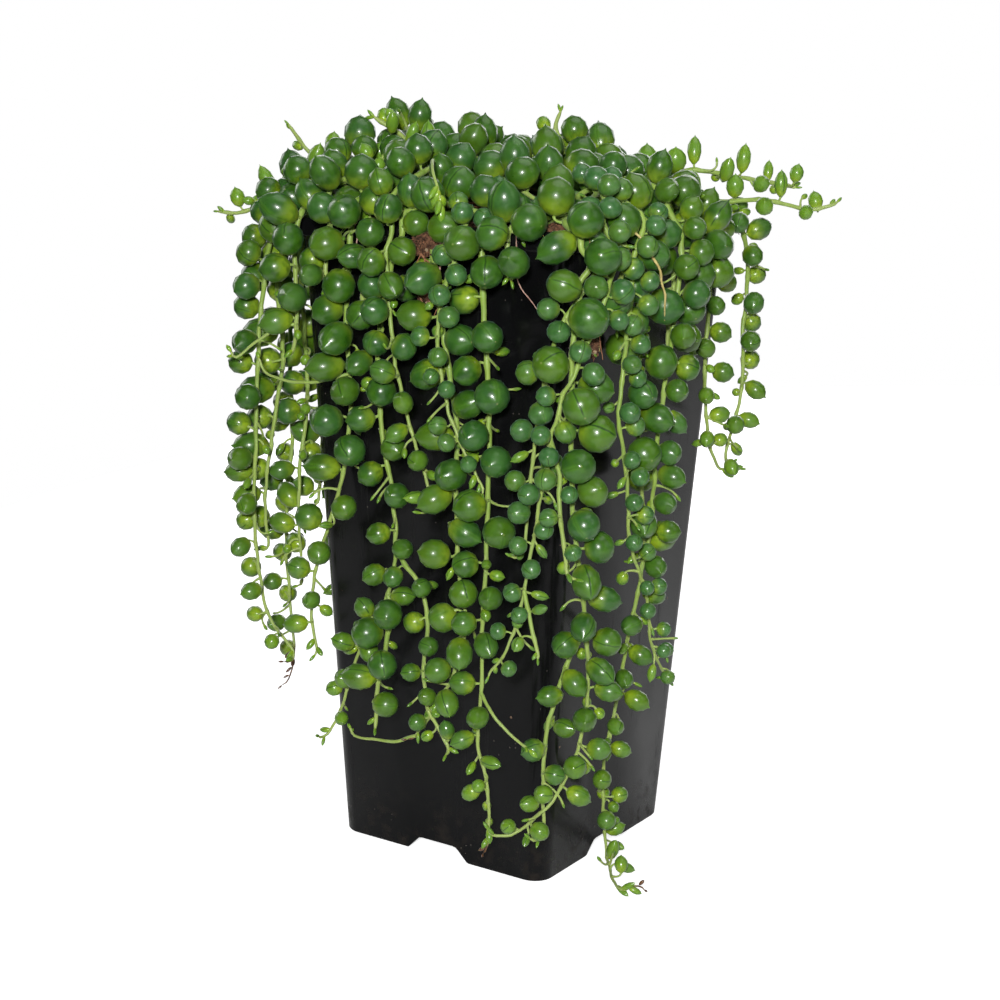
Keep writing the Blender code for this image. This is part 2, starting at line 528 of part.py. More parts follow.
    def carry_stalks(self):
        """Passes a push on a stalk to its stem and its leaf, and sets the stalk back between."""
        foot, head = self.place[self.foot], self.place[self.head]
        middle = foot + (self.stalk_at / self.reach)[:, None] * (head - foot)
        push = self.place[self.stalk] - middle
        np.add.at(self.place, self.foot, 0.5 * push)
        self.place[self.head] += 0.5 * push
        self.place[self.stalk] = middle + 0.5 * push

    def straighten(self, share):
        for stem in self.stems:
            run = self.place[stem.first : stem.first + len(stem.nodes)]
            run[1:-1] += share * ((run[:-2] + run[2:]) / 2 - run[1:-1])

    def settle(self, rounds=420):
        """Lets the vines lie down together: leaves rest on each other and on the mix."""
        resting = 0.62 * rounds
        for turn in range(rounds):
            last = turn > resting
            if turn % (5 if last else 8) == 0:
                i, j, room = self.contacts(3.0)
            if not last:
                self.place[self.place[:, 2] > POT_HEIGHT + 1, 2] -= 0.05
                stand = self.place[self.foot] + self.direction * self.reach[:, None]
                self.place[self.head] += 0.06 * (stand - self.place[self.head])
            hold = self.hold * (0.12 if last else 0.6)
            self.place += hold[:, None] * (self.target - self.place)
            self.straighten(0.06 if last else 0.2)
            for _ in range(2):
                self.pull(*self.links.T, self.link_length, 0.45, 0.45)
            self.pull(self.foot, self.head, self.reach, 0.15, 0.85)
            self.part_contacts(i, j, room)
            self.carry_stalks()
            self.clear_pot()
            self.place[self.roots] = self.root_place
            for stem in self.stems:
                if stem.branch:
                    self.place[stem.first] = self.place[stem.tied_to]

    def trim_leaves(self, rounds=12):
        """Takes the last overlaps out of the leaves' sizes."""
        for _ in range(rounds):
            i, j, room = self.contacts(0.0)
            apart = np.linalg.norm(self.place[i] - self.place[j], axis=1)
            stem_gap = np.where(self.is_leaf[i] != self.is_leaf[j], STEM_ROOM - STEM - 0.25, 0)
            for a, b, over in zip(i, j, room - apart - stem_gap):
                if over <= 0:
                    continue
                leaves = [row for row in (a, b) if self.is_leaf[row]]
                for row in leaves:
                    self.radius[row] -= 0.5 * over / len(leaves)
            self.radius = np.where(self.is_leaf, np.maximum(self.radius, 1.6), self.radius)
            self.room = self.radius + np.where(self.is_leaf, LEAF_ROOM, 0)


# ---------------------------------------------------------------- solids


def clear_scene():
    for item in list(bpy.data.objects):
        bpy.data.objects.remove(item, do_unlink=True)


def make_material(name, color, roughness):
    material = bpy.data.materials.new(name)
    material.use_nodes = True
    shader = material.node_tree.nodes["Principled BSDF"]
    shader.inputs["Base Color"].default_value = (*color, 1)
    shader.inputs["Roughness"].default_value = roughness
    shader.inputs["Metallic"].default_value = 0.0
    return material


def make_object(name, points, faces, material, smooth):
    """An object from points in millimetres, with every face turned outwards."""
    mesh = bpy.data.meshes.new(name)
    mesh.from_pydata([tuple(MM * float(c) for c in point) for point in points], [], faces)
    edit = bmesh.new()
    edit.from_mesh(mesh)
    bmesh.ops.recalc_face_normals(edit, faces=edit.faces)
    edit.to_mesh(mesh)
    edit.free()
    mesh.polygons.foreach_set("use_smooth", [smooth] * len(mesh.polygons))
    mesh.materials.append(material)
    item = bpy.data.objects.new(name, mesh)
    bpy.context.collection.objects.link(item)
    return item


def make_cutter(name, points, faces, target):
    cutter = make_object(name, points, faces, target.data.materials[0], False)
    cutter.hide_render = True
    cutter.display_type = "WIRE"
    cut = target.modifiers.new(name, "BOOLEAN")
    cut.operation = "DIFFERENCE"
    cut.solver = "EXACT"
    cut.object = cutter


def square_ring(half, z, radius, along_side=0):
    """A round-cornered square, anticlockwise seen from above, with more points on each side."""
    ring = []
    for quarter in range(4):
        for step in range(CORNER_STEPS + 1):
            turn = math.radians(90 * (quarter + step / CORNER_STEPS))
            middle = math.radians(90 * quarter + 45)
            cx = (half - radius) * math.copysign(1, math.cos(middle))
            cy = (half - radius) * math.copysign(1, math.sin(middle))
            ring.append((cx + radius * math.cos(turn), cy + radius * math.sin(turn), z))
        for step in range(along_side):
            share = 2 * (step + 1) / (along_side + 1) - 1
            x, y = half, share * (half - radius)
            for _ in range(quarter + 1):
                x, y = -y, x
            ring.append((x, y, z))
    return ring


def loft(rings):
    """Points and faces of the closed body through rings of equal counts, capped at both ends."""
    count = len(rings[0])
    points = [point for ring in rings for point in ring]
    faces = [tuple(range(count)), tuple(range(len(points) - 1, len(points) - count - 1, -1))]
    for k in range(len(rings) - 1):
        for m in range(count):
            a, b = k * count + m, k * count + (m + 1) % count
            faces.append((a, b, b + count, a + count))
    return points, faces


def make_pot(material):
    top = POT_HEIGHT - RIM_BAND
    floor_top = FLOOR + WALL
    rings = [
        square_ring(wall_half(FLOOR) - WALL, FLOOR, CORNER - WALL),
        square_ring(wall_half(0) - WALL, 0, CORNER - WALL),
        square_ring(wall_half(0), 0, CORNER),
        square_ring(wall_half(top), top, CORNER),
        square_ring(HALF, top, CORNER),
        square_ring(HALF, POT_HEIGHT - LIP_EDGE, CORNER),
        square_ring(HALF - LIP_EDGE, POT_HEIGHT, CORNER - LIP_EDGE),
        square_ring(wall_half(top) - WALL, POT_HEIGHT, CORNER - WALL),
        square_ring(wall_half(top) - WALL, top, CORNER - WALL),
        square_ring(wall_half(floor_top) - WALL, floor_top, CORNER - WALL),
    ]
    pot = make_object("pot", *loft(rings), material, False)
    for name, along_x in (("notches_x", True), ("notches_y", False)):
        profile = [
            (-NOTCH_BASE / 2 - 0.5, -0.5),
            (NOTCH_BASE / 2 + 0.5, -0.5),
            (NOTCH_TOP / 2, NOTCH_HEIGHT),
            (-NOTCH_TOP / 2, NOTCH_HEIGHT),
        ]
        bar = []
        for end in (-BASE_WIDTH, BASE_WIDTH):
            bar.append([(end, a, z) if along_x else (a, end, z) for a, z in profile])
        make_cutter(name, *loft(bar), pot)
    spots = [(0, 0)] + [(i * DRAIN_PLACE, j * DRAIN_PLACE) for i in (-1, 1) for j in (-1, 1)]
    for k, (x, y) in enumerate(spots):
        circle = [math.tau * step / 16 for step in range(16)]
        rings = [
            [(x + DRAIN_RADIUS * math.cos(t), y + DRAIN_RADIUS * math.sin(t), z) for t in circle]
            for z in (FLOOR - 1, floor_top + 1)
        ]
        make_cutter(f"drain_{k + 1}", *loft(rings), pot)
    return pot


def make_mix(material):
    low = FLOOR + WALL + GAP
    radius = CORNER - WALL - GAP
    rings = [square_ring(wall_half(low) - WALL - GAP, low, radius, MIX_SIDE)]
    edge = square_ring(HALF - RIM_THICKNESS - GAP, 0, radius, MIX_SIDE)
    for k in range(MIX_RINGS):
        share = 1 - k / MIX_RINGS
        rings.append([(share * x, share * y, mix_height(share * x, share * y)) for x, y, _ in edge])
    return make_object("potting_mix", *loft(rings), material, False)


def unit(vector):
    return vector / max(np.linalg.norm(vector), 1e-9)


def carried(arms, old, new):
    """Arms round one direction, turned by the smallest rotation to stand round another."""
    axis = np.cross(old, new)
    cosine = float(np.clip(old @ new, -1, 1))
    if np.linalg.norm(axis) < 1e-6:
        return arms - (arms @ new)[:, None] * new
    along = arms @ axis
    turned = cosine * arms + np.cross(axis, arms)
    return turned + along[:, None] * axis / (1 + cosine)


def matched_ring(window, centre, axis, radius):
    """Four points round an axis, turned to follow the four corners of a window."""
    middle = window.mean(axis=0)
    u = unit(np.cross(axis, (0.3, 0.2, 1.0) if abs(axis[2]) < 0.9 else (1.0, 0.2, 0.1)))
    v = np.cross(axis, u)
    angles = np.arctan2((window - middle) @ v, (window - middle) @ u)
    way = 1 if np.sin(np.roll(angles, -1) - angles).sum() > 0 else -1
    even = way * np.arange(4) * math.pi / 2
    start = np.angle(np.exp(1j * (angles - even)).sum())
    return np.array(
        [centre + radius * (math.cos(start + t) * u + math.sin(start + t) * v) for t in even]
    )


def ring_places(nodes, wanted, end_at):
    """Where a stem's rings stand: round each stalk's foot, at both ends and at bends."""
    spacing = np.linalg.norm(np.diff(nodes, axis=0), axis=1).mean()
    half = WINDOW / 2 / spacing
    places, foot = [0.0], {}
    for node in sorted(set(wanted)):
        first = max(node - half, 0.35)
        if first - places[-1] < MERGE and len(places) > 1:
            places[-1] = (first + places[-1]) / 2
        else:
            places.append(first)
        foot[node] = places[-1]
        places.append(min(node + half, end_at - 0.35))
    if end_at - places[-1] > 0.5 or len(foot) == 0:
        places.append(float(end_at))
    starts = [places.index(min(places, key=lambda p, n=node: abs(p - foot[n]))) for node in foot]
    windows = {node: places[k] for node, k in zip(foot, starts)}
    return places, windows


def point_at(nodes, place):
    k = min(int(place), len(nodes) - 2)
    return nodes[k] + (place - k) * (nodes[k + 1] - nodes[k])


def with_bends(nodes, places):
    """Adds rings until no span between rings is too long or cuts a bend too deeply."""
    spacing = np.linalg.norm(np.diff(nodes, axis=0), axis=1).mean()
    k = 0
    while k < len(places) - 1:
        a, b = places[k], places[k + 1]
        inner = [m for m in range(math.ceil(a + 0.3), math.floor(b - 0.3) + 1)]
        start, end = point_at(nodes, a), point_at(nodes, b)
        way = unit(end - start)
        off = [np.linalg.norm(np.cross(nodes[m] - start, way)) for m in inner]
        if inner and max(off) > BEND:
            places.insert(k + 1, float(inner[int(np.argmax(off))]))
        elif inner and (b - a) * spacing > LONGEST_SPAN:
            places.insert(k + 1, (a + b) / 2)
        else:
            k += 1
    return places


def stem_radius(place, last):
    return TUBE * (1 - (1 - TIP_SHARE) * np.clip((place / last - 0.55) / 0.45, 0, 1))


def nearest_node(layout, nodes, leaf):
    """The point of the stem nearest to a leaf, no more than two along from its stalk's foot."""
    low = max(leaf.node - 2, 0)
    near = nodes[low : leaf.node + 3]
    return low + int(np.argmin(np.linalg.norm(near - layout.place[leaf.row], axis=1)))


def add_stem(layout, stem, points, faces, window=None):
    """Adds a stem, its leaves and its branches. A branch grows out of its window's four corners."""
    nodes = layout.place[stem.first : stem.first + len(stem.nodes)]
    last = len(nodes) - 1
    branches = [s for s in layout.stems if s.branch and s.name == stem.name and not stem.branch]
    requests = [(nearest_node(layout, nodes, leaf), "leaf", leaf) for leaf in stem.leaves]
    requests += [(s.tied_to - stem.first, "branch", s) for s in branches]
    wanted = [min(max(node, 2 if window is None else 3), last - 1) for node, _, _ in requests]
    places, windows = ring_places(nodes, wanted, last)
    if window is not None:
        places[0] = FORK
    places = with_bends(nodes, places)
    centres = np.array([point_at(nodes, place) for place in places])
    ways = np.array([unit(way) for way in np.gradient(centres, axis=0)])
    if window is None:
        around = unit(np.cross(ways[0], (0.35, 0.9, 0.1)))
        arms = np.array([around, np.zeros(3), np.zeros(3)])
        for m in (1, 2):
            turn = math.tau * m / 3
            arms[m] = math.cos(turn) * around + math.sin(turn) * np.cross(ways[0], around)
        rings = []
    else:
        start = matched_ring(points_of(points, window), centres[0], ways[0], 1.0)
        arms = start - centres[0]
        rings = [list(window)]
    for k, centre in enumerate(centres):
        if k:
            arms = carried(arms, ways[k - 1], ways[k])
        radius = stem_radius(places[k], last)
        ring = centre + radius * np.array([unit(arm) for arm in arms])
        if k == 0 and window is None:
            ring[:, 2] = mix_height(ring[:, 0], ring[:, 1]) + ROOT_RISE
        rings.append(list(range(len(points), len(points) + len(ring))))
        points.extend(ring)
    count = len(rings[0])
    open_sides = {}
    shift = len(rings) - len(places)
    for node, (_, kind, item) in sorted(zip(wanted, requests), key=lambda pair: pair[0]):
        k = places.index(windows[node]) + shift
        middle = points_of(points, rings[k] + rings[k + 1]).mean(axis=0)
        if kind == "leaf":
            aim = layout.place[item.row] - middle
        else:
            aim = layout.place[item.first + 2] - middle
        free = [m for m in range(count) if (k, m) not in open_sides]
        if not free:
            continue
        side = max(free, key=lambda m: side_faces(points, rings, k, m, middle) @ unit(aim))
        open_sides[k, side] = (kind, item)
    for k in range(len(rings) - 1):
        for m in range(count):
            corners = side_corners(rings, k, m)
            if (k, m) not in open_sides:
                faces.append(tuple(corners))
                continue
            kind, item = open_sides[k, m]
            if kind == "leaf":
                add_leaf(layout, item, points, faces, corners)
            else:
                add_stem(layout, item, points, faces, corners)
    if window is None:
        faces.append(tuple(reversed(rings[0])))
    faces.append(tuple(rings[-1]))


def points_of(points, indices):
    return np.array([points[k] for k in indices])


def side_corners(rings, k, m):
    following = (m + 1) % len(rings[k])
    return [rings[k][m], rings[k][following], rings[k + 1][following], rings[k + 1][m]]


def side_faces(points, rings, k, m, middle):
    """The direction in which one side of a stem faces."""
    return unit(points_of(points, side_corners(rings, k, m)).mean(axis=0) - middle)


def add_leaf(layout, leaf, points, faces, window):
    """A faceted leaf on a stalk that grows out of four corners of its stem."""
    centre = layout.place[leaf.row]
    radius = layout.radius[leaf.row]
    axis = unit(centre - points_of(points, window).mean(axis=0))
    belly = matched_ring(points_of(points, window), centre, axis, radius)
    first = len(points)
    points.extend(belly)
    points.append(centre + radius * axis)
    for m in range(4):
        n = (m + 1) % 4
        faces.append((window[m], window[n], first + n, first + m))
        faces.append((first + m, first + n, first + 4))


def build():
    clear_scene()
    layout = Layout()
    layout.settle()
    layout.trim_leaves()
    leaf_materials = {
        "pearl": make_material("leaf_green", (0.062, 0.195, 0.035), 0.42),
        "blue": make_material("leaf_blue_green", (0.120, 0.300, 0.160), 0.50),
        "young": make_material("leaf_young", (0.280, 0.450, 0.060), 0.42),
    }
    whole = bpy.data.objects.new("string_of_pearls", None)
    bpy.context.collection.objects.link(whole)
    make_pot(make_material("pot_plastic", (0.013, 0.013, 0.015), 0.34)).parent = whole
    make_mix(make_material("potting_mix", (0.110, 0.060, 0.034), 0.95)).parent = whole
    for stem in layout.stems:
        if not stem.branch:
            points, faces = [], []
            add_stem(layout, stem, points, faces)
            vine = make_object(stem.name, points, faces, leaf_materials[stem.look], True)
            vine.parent = whole


build()
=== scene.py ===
"""A potted string of pearls: the pot, the potting mix, its loose fibres and every trailing vine.

The pot stands on z = 0 with its middle at the origin and its sides along x and y. The vines' layout
is worked out in millimetres, as the CAD's is, and every mesh is made in metres.
"""

import json
import math
from collections import namedtuple

import bmesh
import bpy
import numpy as np
from mathutils import Matrix, Vector, noise

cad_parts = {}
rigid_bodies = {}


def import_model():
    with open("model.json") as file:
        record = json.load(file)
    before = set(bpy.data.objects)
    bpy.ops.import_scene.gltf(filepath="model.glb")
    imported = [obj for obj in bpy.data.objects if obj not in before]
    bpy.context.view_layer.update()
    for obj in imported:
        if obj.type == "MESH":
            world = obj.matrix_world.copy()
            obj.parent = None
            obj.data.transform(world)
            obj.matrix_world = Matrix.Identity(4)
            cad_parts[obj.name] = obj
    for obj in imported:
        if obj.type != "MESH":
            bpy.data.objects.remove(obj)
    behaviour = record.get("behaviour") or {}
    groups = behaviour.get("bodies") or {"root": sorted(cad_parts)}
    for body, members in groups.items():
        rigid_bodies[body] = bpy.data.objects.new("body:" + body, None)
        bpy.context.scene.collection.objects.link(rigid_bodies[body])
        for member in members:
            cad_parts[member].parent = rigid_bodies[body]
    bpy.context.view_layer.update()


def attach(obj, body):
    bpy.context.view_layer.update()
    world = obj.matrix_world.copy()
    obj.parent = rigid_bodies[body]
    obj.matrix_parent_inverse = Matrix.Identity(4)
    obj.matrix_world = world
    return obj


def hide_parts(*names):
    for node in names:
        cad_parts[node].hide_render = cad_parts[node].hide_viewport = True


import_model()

# ---------------------------------------------------------------- driving sizes, in millimetres

RIM_WIDTH = 110.0
POT_HEIGHT = 213.0
BODY_WIDTH = 105.4  # across the walls, at their top
BASE_WIDTH = 83.0
CORNER = 7.0  # radius of the upright corners
RIM_BAND = 6.0  # height of the rim
WALL = 1.4
MIX_EDGE = -2.0  # the potting mix at the rim, from the rim's top
MIX_CROWN = 9.0  # how far the mix mounds up in the middle

STEM = 1.0  # radius of a stem
NODE_STEP = 3.0  # spacing of the points along a stem
NEAR_NODES = 4  # points up to this many apart, along a stem or round a fork, don't push
STEM_ROOM = 1.7  # half of the room kept between two stems
LEAF_ROOM = 0.3  # room kept round a leaf
PETIOLE = 1.2  # a leaf's own short stalk
STALK_ROOM = 1.4  # room kept round the middle of a stalk
ROOT_RISE = 0.35  # a root's end, over the mix
GAP_TO_POT = 0.5  # least room between a leaf or a stem and the pot
LEAST_LEAF = 1.6  # radius of the smallest leaf
VINE_START = 10.5  # from a hanging vine's root to its first leaf
SHORT_START = 6.0  # the same on a creeper and on a side branch

HALF = RIM_WIDTH / 2
RIM_THICKNESS = (RIM_WIDTH - BODY_WIDTH) / 2 + WALL
SEED = 7
noise.seed_set(SEED)  # without it, noise_vector starts from the clock

# ---------------------------------------------------------------- the vines

FRONT, RIGHT, BACK, LEFT = 0, 1, 2, 3

# A vine roots in the mix at (along, inset): along is the distance from the middle of its side
# and inset the distance inside the rim. It crosses the rim "lift" over its top, and then
# hangs through its points (along, out, height), where out is the distance outside the rim.
# Leaves shrink from the first diameter to the last, "step" apart, and end at the bare tip.
Vine = namedtuple("Vine", "name side root lift hang leaf step bare look", defaults=("pearl",))

VINES = [
    Vine("vine_front_01", FRONT, (-31, 18), 12, ((-31, 7, 211), (-32, 8, 202), (-32, 7, 190)),
         (10.5, 8.5), 9.0, 3),
    Vine("vine_front_02", FRONT, (-20, 24), 9,
         ((-24, 5, 208), (-26, 5, 180), (-24, 5, 160), (-26, 5, 135), (-32, 5, 116), (-38, 5, 98),
          (-40, 5, 84), (-37, 5, 68)), (11.5, 6.0), 10.0, 6),
    Vine("vine_front_03", FRONT, (-3, 16), 8,
         ((-6, 4, 211), (-11, 4, 192), (-14, 4, 172), (-12, 4, 147), (-7, 4, 124), (-6, 4, 108),
          (-8, 4, 96), (-14, 4, 84), (-22, 4, 70), (-27, 4, 53), (-34, 4, 40)), (9.4, 5.0), 9.0, 6),
    Vine("vine_front_04", FRONT, (-9, 32), 15,
         ((-9, 7, 212), (-7, 8, 190), (-5, 8, 174), (-2, 7, 160), (3, 6, 144), (9, 5, 127)),
         (9.5, 6.0), 10.0, 4),
    Vine("vine_front_05", FRONT, (21, 26), 12,
         ((21, 9, 213), (16, 9, 200), (13, 9, 185), (14, 9, 168), (18, 9, 156), (23, 9, 146),
          (30, 8, 133)), (6.8, 4.8), 7.2, 7, "blue"),
    Vine("vine_front_06", FRONT, (24, 12), 8,
         ((25, 4, 208), (26, 4, 190), (28, 4, 166), (29, 4, 150), (29, 4, 120), (28, 4, 90),
          (28, 4, 64), (27, 4, 50), (30, 4, 42), (32, 4, 30), (31, 3, 15)), (10.8, 5.0), 10.5, 12),
    Vine("vine_front_07", FRONT, (5, 12), 8,
         ((7, 4, 207), (9, 4, 190), (13, 4, 172), (17, 4, 152), (17, 4, 130), (19, 4, 104),
          (22, 4, 90), (20, 5, 78), (17, 5, 69), (10, 5, 59), (2, 5, 46)), (10.5, 8.0), 9.6, 22),
    Vine("vine_front_08", RIGHT, (-32, 17), 7,
         ((-44, 4, 209), (-51, 4, 200), (-58, 0, 189), (-59, -5, 177), (-59, -8, 160),
          (-59, -10, 144), (-59, -12, 115)), (8.0, 6.8), 9.4, 5, "blue"),
    Vine("vine_front_09", RIGHT, (-21, 25), 12,
         ((-42, 7, 209), (-50, 9, 196), (-59, 6, 178), (-63, 1, 158), (-62, -5, 134),
          (-62, -9, 111), (-62, -12, 95), (-62, -17, 82), (-62, -23, 75)),
         (7.2, 5.2), 8.2, 8, "blue"),
    Vine("vine_front_10", FRONT, (-49, 11), 7,
         ((-46, 5, 209), (-46, 6, 196), (-45, 6, 182), (-47, 6, 170)), (11.0, 9.5), 10.0, 3),
    Vine("vine_front_11", FRONT, (-15, 11), 6, ((-15, 5, 208), (-18, 6, 196), (-19, 6, 184)),
         (10.5, 10.0), 9.5, 2),
    Vine("vine_front_12", FRONT, (34, 13), 7, ((35, 5, 208), (37, 6, 199)), (10.5, 10.0), 9.5, 2),
    # the near corner and the right side
    Vine("vine_corner", RIGHT, (-40, 12), 7,
         ((-52, 5, 210), (-57, 3, 194), (-58, 2, 168), (-56, 3, 130), (-51, 4, 106), (-46, 3, 90),
          (-45, 4, 71), (-46, 3, 57), (-48, 0, 44), (-51, -5, 34), (-54, -10, 27), (-57, -15, 22),
          (-61, -20, 22)), (11.8, 5.0), 9.2, 4),
    Vine("vine_right_01", RIGHT, (-33, 24), 13,
         ((-37, 9, 208), (-37, 9, 190), (-37, 8, 173), (-39, 8, 157), (-32, 8, 137), (-30, 8, 120),
          (-24, 8, 108), (-16, 8, 96), (-14, 8, 84), (-8, 8, 73), (3, 8, 63)),
         (6.8, 4.4), 7.6, 6, "blue"),
    Vine("vine_right_02", RIGHT, (-17, 12), 7,
         ((-23, 5, 207), (-24, 5, 188), (-24, 5, 170), (-22, 5, 155), (-17, 5, 132), (-13, 5, 118),
          (-14, 5, 106)), (11.2, 9.8), 10.0, 3),
    Vine("vine_right_03", RIGHT, (-13, 30), 16,
         ((-12, 12, 208), (-14, 12, 180), (-15, 9, 150), (-13, 6, 120), (-16, 4, 94), (-18, 2, 78),
          (-17, -1, 60), (-19, -4, 40), (-17, -5, 24), (-13, -6, 9), (-14, -4.5, 2.8),
          (-20, 0, 2.4), (-28, 6, 2.4), (-34, 12, 2.4), (-34, 15, 2.6), (-30, 14, 3.4)),
         (8.5, 4.8), 9.4, 12),
    Vine("vine_right_04", RIGHT, (12, 15), 8,
         ((13, 4, 211), (25, 4, 196), (27, 4, 184), (25, 4, 170), (27, 4, 156), (31, 4, 139),
          (40, 4, 129)), (8.0, 5.0), 7.8, 5),
    Vine("vine_right_05", RIGHT, (40, 13), 6,
         ((46, 4, 213), (51, 5, 204), (53, 5, 188), (51, 5, 176), (53, 5, 163), (51, 5, 150),
          (45, 5, 140), (42, 5, 132), (50, 6, 127)), (7.8, 5.0), 8.2, 5),
    Vine("vine_right_06", RIGHT, (-25, 5), 5, ((-33, 5, 208), (-38, 6, 196), (-38, 6, 184)),
         (11.2, 10.5), 9.8, 2),
    Vine("vine_right_07", RIGHT, (-5, 12), 7,
         ((-6, 6, 208), (-5, 7, 196), (-7, 7, 184), (-5, 6, 174)), (11.2, 10.0), 9.8, 2),
    Vine("vine_right_08", RIGHT, (3, 26), 13, ((4, 11, 210), (3, 11, 198)), (10.4, 10.0), 9.6, 2),
    Vine("vine_right_09", RIGHT, (21, 20), 8, ((20, 5, 213), (21, 6, 206)), (9.0, 7.5), 9.0, 3),
    # the left side: a heavy bunch at its front end, lighter behind
    Vine("vine_left_01", LEFT, (44, 27), 12,
         ((50, 8, 210), (56, 8, 198), (58, 8, 185), (59, 9, 160), (60, 9, 136), (60, 10, 116),
          (59, 9, 96), (57, 6, 77), (52, -2, 64)), (9.8, 5.0), 9.2, 8),
    Vine("vine_left_02", LEFT, (36, 15), 8,
         ((46, 6, 208), (51, 7, 190), (49, 6, 168), (51, 9, 140), (53, 11, 120), (51, 11, 100)),
         (11.0, 8.0), 10.0, 4),
    Vine("vine_left_03", LEFT, (39, 5), 4,
         ((41, 4, 208), (42, 4, 185), (40, 3, 158), (41, 3, 144), (43, 4, 126), (43, 4, 104),
          (40, 5, 84)), (9.5, 7.0), 9.6, 6),
    Vine("vine_left_04", LEFT, (22, 24), 12,
         ((29, 15, 208), (32, 17, 190), (32, 17, 169), (32, 16, 138), (33, 18, 112), (33, 18, 90),
          (33, 16, 70), (36, 12, 56), (41, 12, 47)), (9.5, 5.5), 9.6, 14),
    Vine("vine_left_05", LEFT, (25, 11), 6,
         ((27, 6, 207), (27, 7, 188), (26, 7, 160), (27, 7, 136), (29, 7, 112)),
         (10.5, 7.5), 10.2, 4),
    Vine("vine_left_06", LEFT, (10, 20), 9,
         ((10, 7, 207), (9, 8, 180), (11, 8, 150), (9, 8, 118), (12, 7, 84), (10, 6, 60)),
         (10.0, 5.5), 10.4, 8),
    Vine("vine_left_07", LEFT, (-8, 14), 7,
         ((-8, 5, 207), (-10, 6, 184), (-9, 6, 150), (-12, 6, 126)), (10.5, 7.0), 10.6, 5),
    Vine("vine_left_08", LEFT, (-26, 20), 9,
         ((-26, 6, 208), (-27, 7, 176), (-24, 7, 142), (-26, 7, 104), (-23, 6, 76)),
         (9.6, 5.5), 10.4, 8),
    Vine("vine_left_09", LEFT, (-35, 12), 8, ((-41, 5, 208), (-43, 6, 186), (-42, 6, 158)),
         (10.0, 8.0), 10.4, 4),
    # the back
    Vine("vine_back_01", BACK, (-34, 18), 8, ((-33, 5, 208), (-31, 6, 190), (-30, 6, 172)),
         (9.0, 7.5), 10.0, 4),
    Vine("vine_back_02", BACK, (-21, 13), 7,
         ((-21, 5, 208), (-22, 6, 178), (-20, 6, 140), (-22, 6, 104), (-19, 6, 78)),
         (9.6, 5.5), 10.4, 8),
    Vine("vine_back_03", BACK, (-10, 24), 12,
         ((-8, 11, 209), (-6, 11, 180), (-8, 10, 150), (-5, 9, 116), (-7, 8, 92)),
         (8.4, 5.5), 9.8, 8, "blue"),
    Vine("vine_back_04", BACK, (9, 13), 7,
         ((8, 5, 208), (9, 6, 184), (7, 6, 150), (9, 6, 122), (5, 6, 100)), (10.6, 7.0), 10.6, 5),
    Vine("vine_back_05", BACK, (24, 22), 10, ((25, 10, 209), (26, 10, 186), (24, 9, 160)),
         (9.6, 8.0), 10.2, 4),
    Vine("vine_back_06", BACK, (38, 13), 8,
         ((44, 6, 208), (46, 7, 180), (44, 7, 142), (47, 7, 112), (45, 6, 84), (41, 6, 62)),
         (9.4, 5.0), 10.2, 10),
    # shoots that reach out sideways from the crown
    Vine("shoot_left_low", LEFT, (15, 14), 14,
         ((30, 0, 229), (38, 10, 225), (44, 19, 216), (47, 24, 213), (49, 28, 212), (51, 32, 213)),
         (8.5, 4.0), 7.0, 4, "young"),
    Vine("shoot_left_high", LEFT, (12, 29), 18, ((33, 5, 231), (37, 9, 237), (40, 11, 242)),
         (7.0, 4.0), 7.0, 2, "young"),
    Vine("shoot_right_high", RIGHT, (22, 34), 16,
         ((34, -6, 230), (46, 4, 228), (55, 9, 227), (60, 13, 226), (62, 17, 225)),
         (8.0, 4.5), 7.6, 3, "young"),
    Vine("shoot_right_low", RIGHT, (30, 14), 9,
         ((40, 1, 220), (50, 13, 221), (55, 19, 219), (59, 23, 218), (61, 27, 218), (63, 31, 220)),
         (7.5, 4.5), 7.6, 3, "young"),
]

# A side branch leaves its vine at the vine's point nearest to its own first point.
Branch = namedtuple("Branch", "vine points leaf step bare look", defaults=("pearl",))

BRANCHES = [
    Branch("vine_front_03", ((-6, 4, 108), (0, 5, 104), (6, 5, 97), (8, 5, 86), (6, 5, 74),
                             (10, 5, 57), (17, 5, 47)), (7.0, 5.0), 9.0, 3),
    Branch("vine_front_03", ((-8, 4, 94), (-7, 6, 82), (-11, 6, 64), (-12, 6, 50)),
           (10.5, 8.5), 8.0, 3),
    Branch("vine_front_09", ((-62, -1, 152), (-62, 2, 132), (-62, 5, 112)),
           (6.0, 5.5), 9.0, 3, "blue"),
    Branch("vine_front_09", ((-62, -10, 104), (-62, -7, 93), (-62, -4, 84)),
           (4.5, 4.0), 8.0, 3, "young"),
    Branch("vine_corner", ((-46, 3, 92), (-48, -1, 82), (-50, -4, 71), (-52, -7, 54),
                           (-52, -7, 39), (-52, -7, 22)), (8.0, 5.0), 9.5, 4),
]

# Vines that stay on top of the mix, through (x, y, height over the mix).
Creeper = namedtuple("Creeper", "name points leaf step bare look", defaults=("pearl",))

